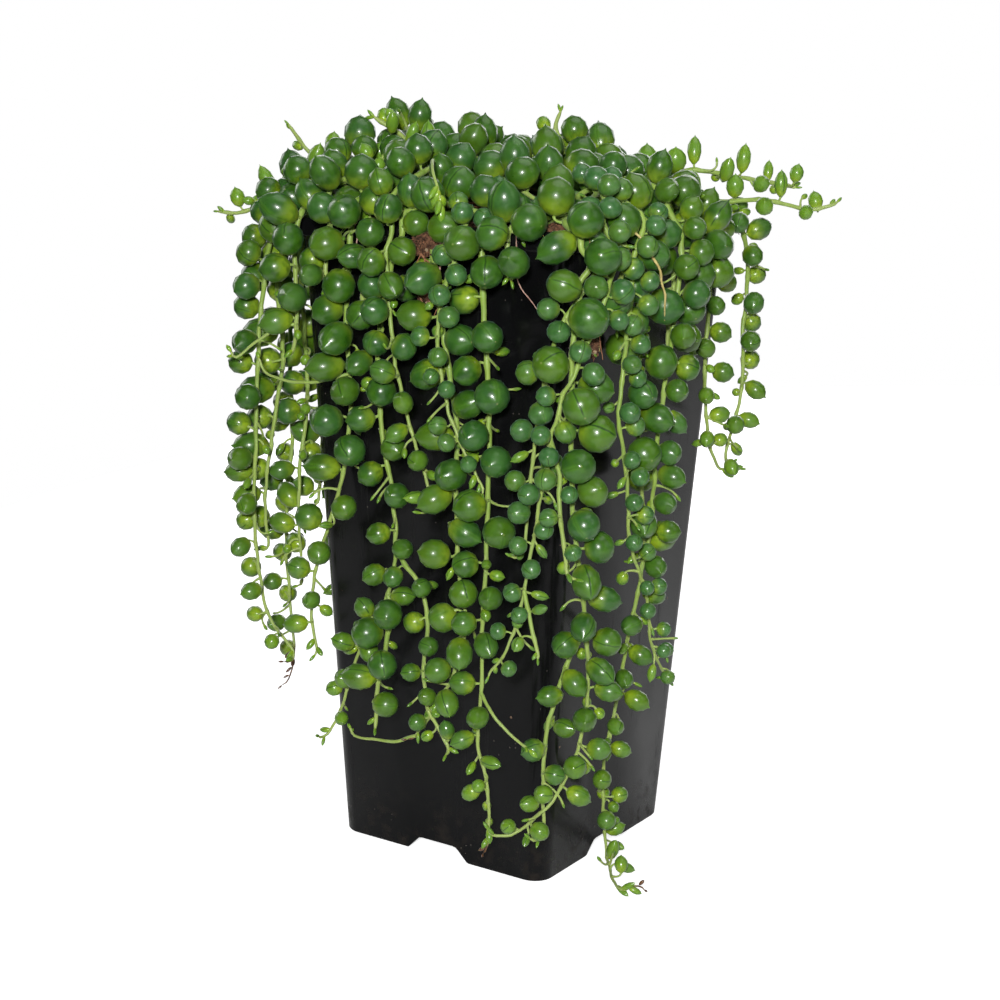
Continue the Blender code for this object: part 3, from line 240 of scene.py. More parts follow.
CREEPERS = [
    Creeper("crown_vine_01", ((-34, -4, 2), (-33, -18, 9), (-22, -32, 14), (-8, -37, 13),
                              (6, -36, 12)), (10.5, 9.5), 9.6, 2),
    Creeper("crown_vine_02", ((-6, -30, 2), (-18, -22, 10), (-28, -8, 15), (-34, 6, 15),
                              (-34, 20, 12)), (10.8, 10.0), 9.6, 2),
    Creeper("crown_vine_03", ((10, -14, 2), (2, -22, 10), (-10, -16, 16), (-20, -6, 19),
                              (-26, 6, 19), (-24, 18, 16)), (10.6, 9.0), 9.6, 3),
    Creeper("crown_vine_04", ((-4, 14, 2), (8, 8, 10), (20, -4, 14), (28, -16, 15), (34, -30, 12)),
            (10.8, 10.0), 9.6, 2),
    Creeper("crown_vine_05", ((26, 0, 2), (18, -14, 10), (14, -26, 14), (22, -38, 14),
                              (36, -42, 10)), (10.6, 10.0), 9.6, 2),
    Creeper("crown_vine_06", ((-12, 4, 2), (-2, -4, 12), (8, -6, 18), (18, 2, 19), (26, 12, 17),
                              (34, 20, 13)), (10.4, 9.6), 9.6, 2),
    Creeper("crown_vine_07", ((14, 26, 2), (4, 20, 10), (-8, 16, 15), (-18, 24, 14), (-26, 36, 10)),
            (10.4, 9.6), 9.6, 2),
    Creeper("crown_vine_08", ((30, 14, 2), (22, 22, 10), (12, 30, 13), (2, 38, 12), (-10, 40, 10)),
            (10.2, 9.6), 9.6, 2),
    Creeper("crown_vine_09", ((38, -14, 2), (42, -2, 9), (40, 12, 12), (36, 26, 12), (26, 36, 11)),
            (10.6, 9.8), 9.6, 2),
    Creeper("crown_vine_10", ((-28, -6, 3), (-40, -14, 16), (-46, -26, 22), (-42, -38, 20),
                              (-30, -42, 16)), (10.6, 9.0), 9.6, 2),
    Creeper("crown_vine_11", ((-40, 24, 2), (-44, 10, 11), (-42, -6, 18), (-34, -18, 24),
                              (-24, -26, 22)), (10.4, 9.0), 9.6, 2),
    Creeper("crown_vine_12", ((38, 34, 2), (34, 42, 8), (22, 46, 9), (8, 46, 9)),
            (10.0, 9.0), 9.6, 2),
    Creeper("crown_vine_13", ((-26, 27, 2), (-33, 35, 9), (-25, 42, 13), (-13, 37, 16), (-5, 28, 17)),
            (10.4, 9.4), 9.6, 2),
    Creeper("crown_shoot_01", ((-19, -10, 3), (-25, -19, 18), (-32, -26, 26), (-39, -30, 31)),
            (8.0, 5.0), 6.5, 1, "young"),
    Creeper("crown_shoot_02", ((10, 8, 3), (9, 5, 14), (8, 4, 21), (11, 7, 29)),
            (8.0, 4.5), 6.5, 1, "young"),
    Creeper("crown_shoot_03", ((-14, -28, 3), (-21, -33, 20), (-27, -38, 20), (-26, -47, 12),
                               (-22, -57, 4)), (5.5, 4.5), 9.0, 6, "young"),
]

# ---------------------------------------------------------------- where the vines lie


def to_world(side, along, out, height):
    x, y = along, -(HALF + out)
    for _ in range(side):
        x, y = -y, x
    return x, y, height


def mix_height(x, y):
    reach = (np.abs(x) ** 3 + np.abs(y) ** 3) ** (1 / 3) / (HALF - 3)
    return POT_HEIGHT + MIX_EDGE + MIX_CROWN * (1 - reach**2)


def wall_half(z):
    """Half the pot's width at a height."""
    share = np.clip(z / (POT_HEIGHT - RIM_BAND), 0, 1)
    return (BASE_WIDTH + (BODY_WIDTH - BASE_WIDTH) * share) / 2


def square_distance(x, y, half):
    """Signed distance from a round-cornered square, and the direction away from it."""
    qx = np.abs(x) - (half - CORNER)
    qy = np.abs(y) - (half - CORNER)
    length = np.hypot(np.maximum(qx, 0), np.maximum(qy, 0))
    inside = np.minimum(np.maximum(qx, qy), 0)
    at_corner = length > 1e-9
    safe = np.maximum(length, 1e-9)
    nx = np.where(at_corner, np.maximum(qx, 0) / safe, qx >= qy)
    ny = np.where(at_corner, np.maximum(qy, 0) / safe, qx < qy)
    return length + inside - CORNER, nx * np.sign(x), ny * np.sign(y)


def catmull_rom(p, t, at):
    """A point of the centripetal Catmull-Rom curve through the middle two of four points."""
    a = [((t[k + 1] - at) * p[k] + (at - t[k]) * p[k + 1]) / (t[k + 1] - t[k]) for k in range(3)]
    b = [((t[k + 2] - at) * a[k] + (at - t[k]) * a[k + 1]) / (t[k + 2] - t[k]) for k in range(2)]
    return ((t[2] - at) * b[0] + (at - t[1]) * b[1]) / (t[2] - t[1])


def smooth_path(points, step):
    """Evenly spaced points on a smooth curve through the given ones, and its length."""
    p = np.asarray(points, float)
    p = np.vstack([2 * p[0] - p[1], p, 2 * p[-1] - p[-2]])
    fine = []
    for i in range(1, len(p) - 2):
        four = p[i - 1 : i + 3]
        t = np.concatenate([[0], np.cumsum(np.linalg.norm(np.diff(four, axis=0), axis=1) ** 0.5)])
        fine += [catmull_rom(four, t, at) for at in np.linspace(t[1], t[2], 24, endpoint=False)]
    fine = np.array(fine + [p[-2]])
    run = np.concatenate([[0], np.cumsum(np.linalg.norm(np.diff(fine, axis=0), axis=1))])
    at = np.linspace(0, run[-1], max(3, round(run[-1] / step) + 1))
    return np.stack([np.interp(at, run, fine[:, k]) for k in range(3)], axis=1), run[-1]


def vine_route(vine):
    """From the root, up over the mix, across the rim and down the hanging points."""
    along, inset = vine.root
    first_along, first_out, first_height = vine.hang[0]
    x, y, _ = to_world(vine.side, along, -inset, 0)
    ground = float(mix_height(x, y))
    cross = POT_HEIGHT + vine.lift
    route = [(x, y, ground + ROOT_RISE)]
    if first_height < POT_HEIGHT + 5:
        rise = max(cross, ground + 0.6 * vine.lift)
        route.append(to_world(vine.side, 0.7 * along + 0.3 * first_along, -0.62 * inset, rise))
        route.append(to_world(vine.side, first_along, min(0.2 * first_out, 2) - 1, cross - 1))
    else:
        middle = 0.45 * first_out - 0.55 * inset
        route.append(
            to_world(vine.side, (along + first_along) / 2, middle, max(cross - 2, ground + 6))
        )
    return route + [to_world(vine.side, *point) for point in vine.hang]


def out_of_pot(points, clearance):
    """The moves that bring points out of the walls, the rim, the mix and the floor."""
    x, y, z = points.T
    near_rim = z > POT_HEIGHT - RIM_BAND - 5
    distance, nx, ny = square_distance(x, y, np.where(near_rim, HALF, wall_half(z)))
    side = np.sign(distance + RIM_THICKNESS / 2 + 1e-9)
    aside = np.abs(distance + RIM_THICKNESS / 2) - RIM_THICKNESS / 2
    above = z - POT_HEIGHT
    over = (above >= 0) | ((aside < 0.5) & (distance < -1))
    flat, high = np.maximum(aside, 0), np.maximum(above, 0)
    edge = np.hypot(flat, high)
    short = np.maximum(clearance - edge, 0)
    lean = np.where(edge > 1e-6, flat / np.maximum(edge, 1e-6), 0)
    outwards = side * np.where(over, short * lean, np.maximum(clearance - aside, 0))
    upwards = np.where(over, short * np.sqrt(1 - lean**2) + np.maximum(-above, 0), 0)
    ground = np.where(distance < -RIM_THICKNESS, mix_height(x, y), 0) + clearance
    upwards = np.maximum(upwards, ground - z)
    return np.stack([outwards * nx, outwards * ny, upwards], axis=1)


class Stem:
    """One unbranched stretch of stem. Its nodes and leaves are rows of the layout's arrays."""

    def __init__(self, name, route, spec, start, branch=False):
        self.name = name
        self.nodes, self.length = smooth_path(route, NODE_STEP)
        self.leaf, self.step, self.bare, self.look = spec.leaf, spec.step, spec.bare, spec.look
        self.start = start
        self.branch = branch
        self.first = 0
        self.tied_to = None
        self.leaves = []


Leaf = namedtuple("Leaf", "row stalk node direction reach stalk_length")


def all_stems():
    side_of = {vine.name: vine.side for vine in VINES}
    stems = [Stem(vine.name, vine_route(vine), vine, VINE_START) for vine in VINES]
    for creeper in CREEPERS:
        (x, y, _), *rest = creeper.points
        route = [(x, y, float(mix_height(x, y)) + ROOT_RISE)]
        route += [(x, y, float(mix_height(x, y)) + height) for x, y, height in rest]
        stems.append(Stem(creeper.name, route, creeper, SHORT_START))
    for branch in BRANCHES:
        route = [to_world(side_of[branch.vine], *point) for point in branch.points]
        stems.append(Stem(branch.vine, route, branch, SHORT_START, branch=True))
    return stems


def away_from_pot(point):
    """The direction in which a leaf stands off: outwards on a wall, up on the crown."""
    x, y, z = point
    distance, nx, ny = square_distance(x, y, wall_half(z))
    if z > POT_HEIGHT:
        lean = np.clip((distance + 12) / 18, 0, 1)
        return np.array([nx * lean, ny * lean, 1 - 0.55 * lean])
    return np.array([float(nx), float(ny), 0.12])


def place_leaves(stem, rng, side):
    """Leaf centres along a stem, left and right in turn, and what each one hangs from."""
    tangents = np.gradient(stem.nodes, axis=0)
    spacing = stem.length / (len(stem.nodes) - 1)
    at = stem.start
    while at < stem.length - stem.bare:
        share = at / stem.length
        size = stem.leaf[0] + (stem.leaf[1] - stem.leaf[0]) * share**2.2
        size *= 1 + 0.09 * rng.uniform(-1, 1)
        node = int(np.clip(round(at / spacing), 0, len(stem.nodes) - 1))
        point = stem.nodes[node]
        tangent = tangents[node] / np.linalg.norm(tangents[node])
        away = away_from_pot(point)
        away = away - away @ tangent * tangent
        away /= max(np.linalg.norm(away), 1e-6)
        turn = side * math.radians(44 + 24 * rng.uniform(-1, 1))
        direction = math.cos(turn) * away + math.sin(turn) * np.cross(tangent, away)
        stalk = PETIOLE * (1.6 if stem.look == "young" else 1.0) * (1 + 0.5 * rng.uniform(-1, 1))
        yield size / 2, Leaf(None, None, node, direction, size / 2 + STEM + stalk, stalk)
        crowded = 0.8 if point[2] > POT_HEIGHT - 6 and stem.look != "young" else 1.0
        shrink = 0.62 + 0.38 * size / stem.leaf[0]
        at += crowded * stem.step * shrink * (1 + 0.12 * rng.uniform(-1, 1))
        side = -side


class Layout:
    """Every stem node and leaf centre as one set of round particles, in millimetres."""

    def __init__(self):
        rng = np.random.default_rng(SEED)
        self.stems = all_stems()
        places, radii, hold, stem_of, is_leaf, node_of = [], [], [], [], [], []
        for k, stem in enumerate(self.stems):
            stem.first = len(places)
            for i, point in enumerate(stem.nodes):
                places.append(point)
                radii.append(STEM_ROOM)
                firm = 0.30 if point[2] < POT_HEIGHT - 4 else 0.03
                hold.append(max(firm, 0.25) if stem.look == "young" else firm)
                stem_of.append(k)
                is_leaf.append(False)
                node_of.append(i)
        for k, stem in enumerate(self.stems):
            for radius, leaf in place_leaves(stem, rng, 1 if k % 2 else -1):
                stem.leaves.append(leaf._replace(row=len(places), stalk=len(places) + 1))
                middle = STEM + leaf.stalk_length / 2
                for reach, size in ((leaf.reach, radius), (middle, STALK_ROOM)):
                    places.append(stem.nodes[leaf.node] + leaf.direction * reach)
                    radii.append(size)
                    hold.append(0.0)
                    stem_of.append(k)
                    is_leaf.append(reach == leaf.reach)
                    node_of.append(leaf.node)
        self.place = np.array(places)
        self.target = self.place.copy()
        self.radius = np.array(radii)
        self.hold = np.array(hold)
        self.stem_of = np.array(stem_of)
        self.is_leaf = np.array(is_leaf)
        self.node_of = np.array(node_of)
        self.room = self.radius + np.where(self.is_leaf, LEAF_ROOM, 0)
        self.clearance = np.where(self.is_leaf, self.radius + GAP_TO_POT, STEM + GAP_TO_POT)
        self.links = np.array(
            [
                (stem.first + i, stem.first + i + 1)
                for stem in self.stems
                for i in range(len(stem.nodes) - 1)
            ]
        )
        ends = self.place[self.links]
        self.link_length = np.linalg.norm(ends[:, 1] - ends[:, 0], axis=1)
        leaves = [(stem.first + leaf.node, leaf) for stem in self.stems for leaf in stem.leaves]
        self.foot = np.array([node for node, _ in leaves])
        self.head = np.array([leaf.row for _, leaf in leaves])
        self.stalk = np.array([leaf.stalk for _, leaf in leaves])
        self.stalk_at = np.array([STEM + leaf.stalk_length / 2 for _, leaf in leaves])
        self.reach = np.array([leaf.reach for _, leaf in leaves])
        self.direction = np.array([leaf.direction for _, leaf in leaves])
        self.roots = np.array([stem.first for stem in self.stems if not stem.branch])
        self.root_place = self.place[self.roots].copy()
        for stem in self.stems:
            if stem.branch:
                self.tie(stem)

    def tie(self, branch):
        trunk = next(s for s in self.stems if s.name == branch.name and not s.branch)
        apart = np.linalg.norm(trunk.nodes - branch.nodes[0], axis=1)
        branch.tied_to = trunk.first + int(np.argmin(apart))
        self.hold[branch.first] = 0.0

    def contacts(self, slack):
        """Pairs of particles near each other, and how far apart each pair has to be."""
        place, room = self.place.astype(np.float32), (self.room + slack / 2).astype(np.float32)
        square = (place**2).sum(axis=1) - room**2
        close = place @ place.T + np.outer(room, room) > (square[:, None] + square) / 2
        i, j = np.nonzero(np.triu(close, 1))
        same = self.stem_of[i] == self.stem_of[j]
        mixed = self.is_leaf[i] != self.is_leaf[j]
        along = np.abs(self.node_of[i] - self.node_of[j])
        skip = same & ~self.is_leaf[i] & ~self.is_leaf[j] & (along <= NEAR_NODES)
        skip |= same & mixed & (along <= 1)
        for stem in self.stems:
            if stem.branch:
                skip |= self.near_fork(i, j, stem) | self.near_fork(j, i, stem)
        i, j, own = i[~skip], j[~skip], (same & mixed)[~skip]
        room = self.room[i] + self.room[j] - np.where(own, STEM_ROOM - STEM, 0)
        return i, j, room

    def near_fork(self, i, j, branch):
        at = self.node_of[branch.tied_to]
        near = self.stem_of[i] == self.stem_of[branch.first]
        near &= self.node_of[i] <= NEAR_NODES
        near &= self.stem_of[j] == self.stem_of[branch.tied_to]
        near &= ~self.is_leaf[i] & ~self.is_leaf[j]
        return near & (np.abs(self.node_of[j] - at) <= NEAR_NODES)

    def pull(self, a, b, length, share_a, share_b):
        """Brings two rows of particles to their distance from each other."""
        gap = self.place[b] - self.place[a]
        apart = np.maximum(np.linalg.norm(gap, axis=1), 1e-6)
        move = ((apart - length) / apart)[:, None] * gap
        np.add.at(self.place, a, share_a * move)
        np.add.at(self.place, b, -share_b * move)

    def part_contacts(self, i, j, room):
        gap = self.place[j] - self.place[i]
        apart = np.maximum(np.linalg.norm(gap, axis=1), 1e-6)
        short = np.maximum(room - apart, 0) / apart
        touching = short > 0
        i, j, gap, short = i[touching], j[touching], gap[touching], short[touching]
        yield_i = np.where(self.is_leaf[i], 0.6, 1.0)
        yield_j = np.where(self.is_leaf[j], 0.6, 1.0)
        total = yield_i + yield_j
        move = np.zeros_like(self.place)
        count = np.zeros(len(move))
        np.add.at(move, i, -(yield_i / total * short)[:, None] * gap)
        np.add.at(move, j, (yield_j / total * short)[:, None] * gap)
        np.add.at(count, i, 1)
        np.add.at(count, j, 1)
        self.place += move / np.maximum(count, 1)[:, None] ** 0.6

    def clear_pot(self):
        """Moves particles, and the stems between them, out of the pot, the mix and the floor."""
        self.place += out_of_pot(self.place, self.clearance)
        a, b = self.links.T
        push = out_of_pot((self.place[a] + self.place[b]) / 2, STEM + GAP_TO_POT)
        np.add.at(self.place, a, 0.7 * push)
        np.add.at(self.place, b, 0.7 * push)

    def carry_stalks(self):
        """Passes a push on a stalk to its stem and its leaf, and sets the stalk back between."""
        foot, head = self.place[self.foot], self.place[self.head]
        middle = foot + (self.stalk_at / self.reach)[:, None] * (head - foot)
        push = self.place[self.stalk] - middle
        np.add.at(self.place, self.foot, 0.5 * push)
        self.place[self.head] += 0.5 * push
        self.place[self.stalk] = middle + 0.5 * push

    def straighten(self, share):
        for stem in self.stems:
            run = self.place[stem.first : stem.first + len(stem.nodes)]
            run[1:-1] += share * ((run[:-2] + run[2:]) / 2 - run[1:-1])

    def settle(self, rounds=420):
        """Lets the vines lie down together: leaves rest on each other and on the mix."""
        resting = 0.62 * rounds
        for turn in range(rounds):
            last = turn > resting
            if turn % (5 if last else 8) == 0:
                i, j, room = self.contacts(3.0)
            if not last:
                self.place[self.place[:, 2] > POT_HEIGHT + 1, 2] -= 0.05
                stand = self.place[self.foot] + self.direction * self.reach[:, None]
                self.place[self.head] += 0.06 * (stand - self.place[self.head])
            hold = self.hold * (0.12 if last else 0.6)
            self.place += hold[:, None] * (self.target - self.place)
            self.straighten(0.06 if last else 0.2)
            for _ in range(2):
                self.pull(*self.links.T, self.link_length, 0.45, 0.45)
            self.pull(self.foot, self.head, self.reach, 0.15, 0.85)
            self.part_contacts(i, j, room)
            self.carry_stalks()
            self.clear_pot()
            self.place[self.roots] = self.root_place
            for stem in self.stems:
                if stem.branch:
                    self.place[stem.first] = self.place[stem.tied_to]

    def trim_leaves(self, rounds=12):
        """Takes the last overlaps out of the leaves' sizes."""
        for _ in range(rounds):
            i, j, room = self.contacts(0.0)
            apart = np.linalg.norm(self.place[i] - self.place[j], axis=1)
            stem_gap = np.where(self.is_leaf[i] != self.is_leaf[j], STEM_ROOM - STEM - 0.25, 0)
            for a, b, over in zip(i, j, room - apart - stem_gap):
                if over <= 0:
                    continue
                leaves = [row for row in (a, b) if self.is_leaf[row]]
                for row in leaves:
                    self.radius[row] -= 0.5 * over / len(leaves)
            self.radius = np.where(self.is_leaf, np.maximum(self.radius, LEAST_LEAF), self.radius)
            self.room = self.radius + np.where(self.is_leaf, LEAF_ROOM, 0)


# ---------------------------------------------------------------- finishing sizes, in millimetres

MM = 0.001
LIP_EDGE = 0.6  # how far the rim's top is rounded over
FLOOR = 5.5  # underside of the pot's floor, over the surface it stands on
NOTCH_HEIGHT = 5.0  # the gap at the foot of each side
NOTCH_BASE = 25.0
NOTCH_TOP = 15.0
DRAIN_RADIUS = 4.0
DRAIN_PLACE = 21.0  # of the four outer drain holes, from the middle
CORNER_STEPS = 8
MIX_GAP = 0.3  # between the mix and the pot
GRAIN = 1.3  # spacing of the points on the mix's top
TOP_THICKNESS = 1.0  # a stem's radius at its root
TIP_THICKNESS = 0.48
FINE_STEP = 1.5  # spacing of the points along a finished stem

# ---------------------------------------------------------------- node trees


class Nodes:
    """Adds nodes to one tree and joins them up."""

    def __init__(self, tree):
        self.tree = tree

    def add(self, kind, **settings):
        made = self.tree.nodes.new(kind)
        for key, value in settings.items():
            setattr(made, key, value)
        return made

    def wire(self, value, socket):
        """Links an output to a socket, or sets the socket's own value."""
        if isinstance(value, bpy.types.NodeSocket):
            self.tree.links.new(value, socket)
        elif value is not None:
            socket.default_value = value

    def use(self, kind, *values, out=0, **settings):
        """A node with its inputs filled in order, and one of its outputs."""
        made = self.add(kind, **settings)
        for value, socket in zip(values, made.inputs):
            self.wire(value, socket)
        return made.outputs[out]

    def math(self, operation, a, b=None, c=None, clamp=False):
        return self.use("ShaderNodeMath", a, b, c, operation=operation, use_clamp=clamp)

    def vector(self, operation, a, b=None, out=0):
        return self.use("ShaderNodeVectorMath", a, b, operation=operation, out=out)

    def blend(self, share, a, b, mode="MIX"):
        made = self.add("ShaderNodeMix", data_type="RGBA", blend_type=mode)
        for value, k in ((share, 0), (a, 6), (b, 7)):
            self.wire(value, made.inputs[k])
        return made.outputs[2]

    def rise(self, value, low, high, to_low=0.0, to_high=1.0, curve="SMOOTHSTEP"):
        """The share of the way from low to high, eased at both ends."""
        return self.use(
            "ShaderNodeMapRange", value, low, high, to_low, to_high, interpolation_type=curve
        )

    def noise(self, place, scale, detail=2.0, roughness=0.5, out=0):
        made = self.add("ShaderNodeTexNoise")
        for key, value in (
            ("Vector", place), ("Scale", scale), ("Detail", detail), ("Roughness", roughness)
        ):
            self.wire(value, made.inputs[key])
        return made.outputs[out]

    def part(self, vector, axis):
        return self.use("ShaderNodeSeparateXYZ", vector, out=axis)

    def attribute(self, name, out="Fac"):
        made = self.add("ShaderNodeAttribute", attribute_name=name)
        return made.outputs[out]

    def place(self):
        """The object's own coordinates, in millimetres."""
        where = self.add("ShaderNodeTexCoord").outputs["Object"]
        made = self.add("ShaderNodeVectorMath", operation="SCALE")
        self.wire(where, made.inputs[0])
        made.inputs["Scale"].default_value = 1 / MM
        return made.outputs[0]

    def group(self, tree, **values):
        made = self.add("ShaderNodeGroup", node_tree=tree)
        for key, value in values.items():
            self.wire(value, made.inputs[key.replace("_", " ")])
        return made.outputs


def colour(*rgb):
    return (*rgb, 1.0)


def shader_group(name, inputs, outputs):
    """An empty shader group, the nodes to fill it with, its inputs and its output sockets."""
    tree = bpy.data.node_groups.new(name, "ShaderNodeTree")
    for key, (kind, value) in inputs.items():
        socket = tree.interface.new_socket(key, in_out="INPUT", socket_type="NodeSocket" + kind)
        if value is not None:
            socket.default_value = value
    for key, kind in outputs.items():
        tree.interface.new_socket(key, in_out="OUTPUT", socket_type="NodeSocket" + kind)
    made = Nodes(tree)
    return tree, made, made.add("NodeGroupInput").outputs, made.add("NodeGroupOutput").inputs


def two_tone_group():
    """Two colours mixed in soft, uneven patches."""
    tree, made, given, result = shader_group(
        "two_tone_patches",
        {
            "Place": ("Vector", None),
            "Scale": ("Float", 1.0),
            "Spread": ("Float", 0.2),
            "First": ("Color", colour(0, 0, 0)),
            "Second": ("Color", colour(1, 1, 1)),
        },
        {"Color": "Color", "Share": "Float"},
    )
    level = made.noise(given["Place"], given["Scale"], 3.0, 0.55)
    low = made.math("SUBTRACT", 0.5, given["Spread"])
    high = made.math("ADD", 0.5, given["Spread"])
    share = made.rise(level, low, high)
    made.wire(made.blend(share, given["First"], given["Second"]), result["Color"])
    made.wire(share, result["Share"])
    return tree


def specks_group():
    """Small round specks, thickest in patches. Their size is a share of a cell."""
    tree, made, given, result = shader_group(
        "dust_specks",
        {
            "Place": ("Vector", None),
            "Cells": ("Float", 1.0),
            "Size": ("Float", 0.1),
            "Cover": ("Float", 0.5),
        },
        {"Mask": "Float"},
    )
    cells = made.add("ShaderNodeTexVoronoi")
    made.wire(given["Place"], cells.inputs["Vector"])
    made.wire(given["Cells"], cells.inputs["Scale"])
    luck = made.part(cells.outputs["Color"], 0)
    size = made.math("MULTIPLY", given["Size"], made.math("ADD", 0.4, luck))
    near = made.math("LESS_THAN", cells.outputs["Distance"], size)
    chance = made.part(cells.outputs["Color"], 1)
    shown = made.math("LESS_THAN", chance, given["Cover"])
    made.wire(made.math("MULTIPLY", near, shown), result["Mask"])
    return tree


def bloom_group():
    """The pale wax film on leaves and stems, rubbed off in places."""
    tree, made, given, result = shader_group(
        "wax_bloom",
        {"Place": ("Vector", None), "Scale": ("Float", 1.0), "Strength": ("Float", 0.5)},
        {"Mask": "Float"},
    )
    broad = made.rise(made.noise(given["Place"], given["Scale"], 2.0, 0.5), 0.3, 0.75)
    fine_scale = made.math("MULTIPLY", given["Scale"], 7.0)
    fine = made.rise(made.noise(given["Place"], fine_scale, 2.0, 0.6), 0.35, 0.7, 0.55, 1.0)
    cover = made.math("MULTIPLY", broad, fine)
    made.wire(made.math("MULTIPLY", cover, given["Strength"], clamp=True), result["Mask"])
    return tree


TWO_TONE = two_tone_group()
SPECKS = specks_group()
BLOOM = bloom_group()


def new_finish(name, **settings):
    """A material, the nodes to fill it with, and its Principled shader's inputs."""
    material = bpy.data.materials.new(name)
    material.use_nodes = True
    shader = material.node_tree.nodes["Principled BSDF"]
    for key, value in settings.items():
        shader.inputs[key.replace("_", " ")].default_value = value
    return material, Nodes(material.node_tree), shader.inputs


def set_bump(made, height, sockets, strength, distance):
    bump = made.add("ShaderNodeBump")
    bump.inputs["Strength"].default_value = strength
    bump.inputs["Distance"].default_value = distance * MM
    made.wire(height, bump.inputs["Height"])
    made.wire(bump.outputs["Normal"], sockets["Normal"])


# ---------------------------------------------------------------- finishes


def leaf_finish(name, deep, fresh, bloom, sheen):
    """A juicy leaf: green skin, a clear slit from stalk to tip, wax bloom and a straw-like tip.

    The leaf's own coordinates run from -1 at the stalk to 1 at the tip along z, and x points
    to the side with the slit.
    """
    material, made, skin = new_finish(
        name,
        Roughness=0.3,
        IOR=1.42,
        Specular_IOR_Level=0.52,
        Subsurface_Weight=0.11,
        Subsurface_Radius=(0.5, 1.0, 0.25),
        Subsurface_Scale=1.1 * MM,
        Coat_Roughness=0.16,
        Sheen_Weight=0.55 * sheen,
        Sheen_Roughness=0.34,
        Sheen_Tint=colour(0.50, 0.95, 0.70),
    )
    spot = made.attribute("leaf_place", "Vector")
    tint = made.attribute("tint")
    youth = made.attribute("youth")
    shift = made.vector("MULTIPLY", tint, (17.0, 29.0, 41.0))
    own = made.vector("ADD", spot, shift)
    height = made.part(spot, 2)
    facing = made.part(spot, 0)
    patches = made.group(
        TWO_TONE, Place=own, Scale=1.3, Spread=0.24, First=colour(*deep), Second=colour(*fresh)
    )["Color"]
    lighter = made.blend(made.math("MULTIPLY", tint, 0.3), patches, colour(*fresh))
    luck = made.math("FRACT", made.math("MULTIPLY", tint, 13.0))
    cool = made.blend(made.rise(luck, 0.5, 1.0, 0.0, 0.4), lighter, colour(0.026, 0.110, 0.030))
    yellower = made.blend(made.rise(luck, 0.5, 0.0, 0.0, 0.5), cool, colour(0.105, 0.200, 0.008))
    young = made.blend(made.math("MULTIPLY", youth, 0.85), yellower, colour(0.20, 0.37, 0.022))
    # painted glow: the stalk end is made lighter and yellower, as if light shone through the leaf
    # there
    painted_glow = made.rise(height, 0.1, -0.95, 0.0, 1.0)
    uneven = made.noise(own, 2.2, 1.0)
    painted_glow = made.math("MULTIPLY", painted_glow, made.rise(uneven, 0.25, 0.6, 0.35, 1.0), clamp=True)
    warm = made.blend(made.math("MULTIPLY", painted_glow, 0.85), young, colour(0.30, 0.42, 0.014))
    film = made.group(BLOOM, Place=own, Scale=1.1, Strength=bloom)["Mask"]
    waxed = made.blend(film, warm, colour(0.09, 0.22, 0.07))
    # the slit lies on the side that faces x, and fades out before the stalk
    front = made.rise(facing, 0.02, 0.3)
    ends = made.math("MULTIPLY", front, made.rise(height, -0.9, -0.45))
    waver = made.math("MULTIPLY", made.math("SUBTRACT", made.noise(own, 1.6, 1.0), 0.5), 0.14)
    off = made.math("ABSOLUTE", made.math("ADD", made.part(spot, 1), waver))
    band = made.math("MULTIPLY", made.rise(off, 0.26, 0.05), ends)
    line = made.math("MULTIPLY", made.rise(off, 0.065, 0.025), ends)
    plain = made.rise(made.math("FRACT", made.math("MULTIPLY", tint, 7.0)), 0.2, 0.8, 0.2, 0.8)
    clear = made.blend(made.math("MULTIPLY", band, 0.42), waxed, colour(0.085, 0.22, 0.016))
    slit = made.blend(made.math("MULTIPLY", line, plain), clear, colour(0.010, 0.038, 0.008))
    tip = made.rise(height, 1.14, 1.24)
    tipped = made.blend(made.math("MULTIPLY", tip, 0.75), slit, colour(0.24, 0.27, 0.09))
    dry = made.attribute("withered")
    crisp = made.group(
        TWO_TONE,
        Place=own,
        Scale=2.0,
        Spread=0.2,
        First=colour(0.045, 0.016, 0.014),
        Second=colour(0.19, 0.09, 0.04),
    )["Color"]
    made.wire(made.blend(dry, tipped, crisp), skin["Base Color"])
    dull = made.rise(made.noise(own, 9.0, 2.0), 0.3, 0.7, 0.0, 0.1)
    rough = made.math("ADD", 0.27, made.math("ADD", dull, made.math("MULTIPLY", film, 0.22)))
    made.wire(rough, skin["Roughness"])
    made.wire(made.math("SUBTRACT", 0.42, made.math("MULTIPLY", film, 0.4)), skin["Coat Weight"])
    dimples = made.noise(own, 4.5, 2.0, 0.5)
    groove = made.math("MULTIPLY", line, 0.4)
    height_map = made.math("SUBTRACT", made.math("MULTIPLY", dimples, 0.5), groove)
    set_bump(made, height_map, skin, 0.35, 0.22)
    return material


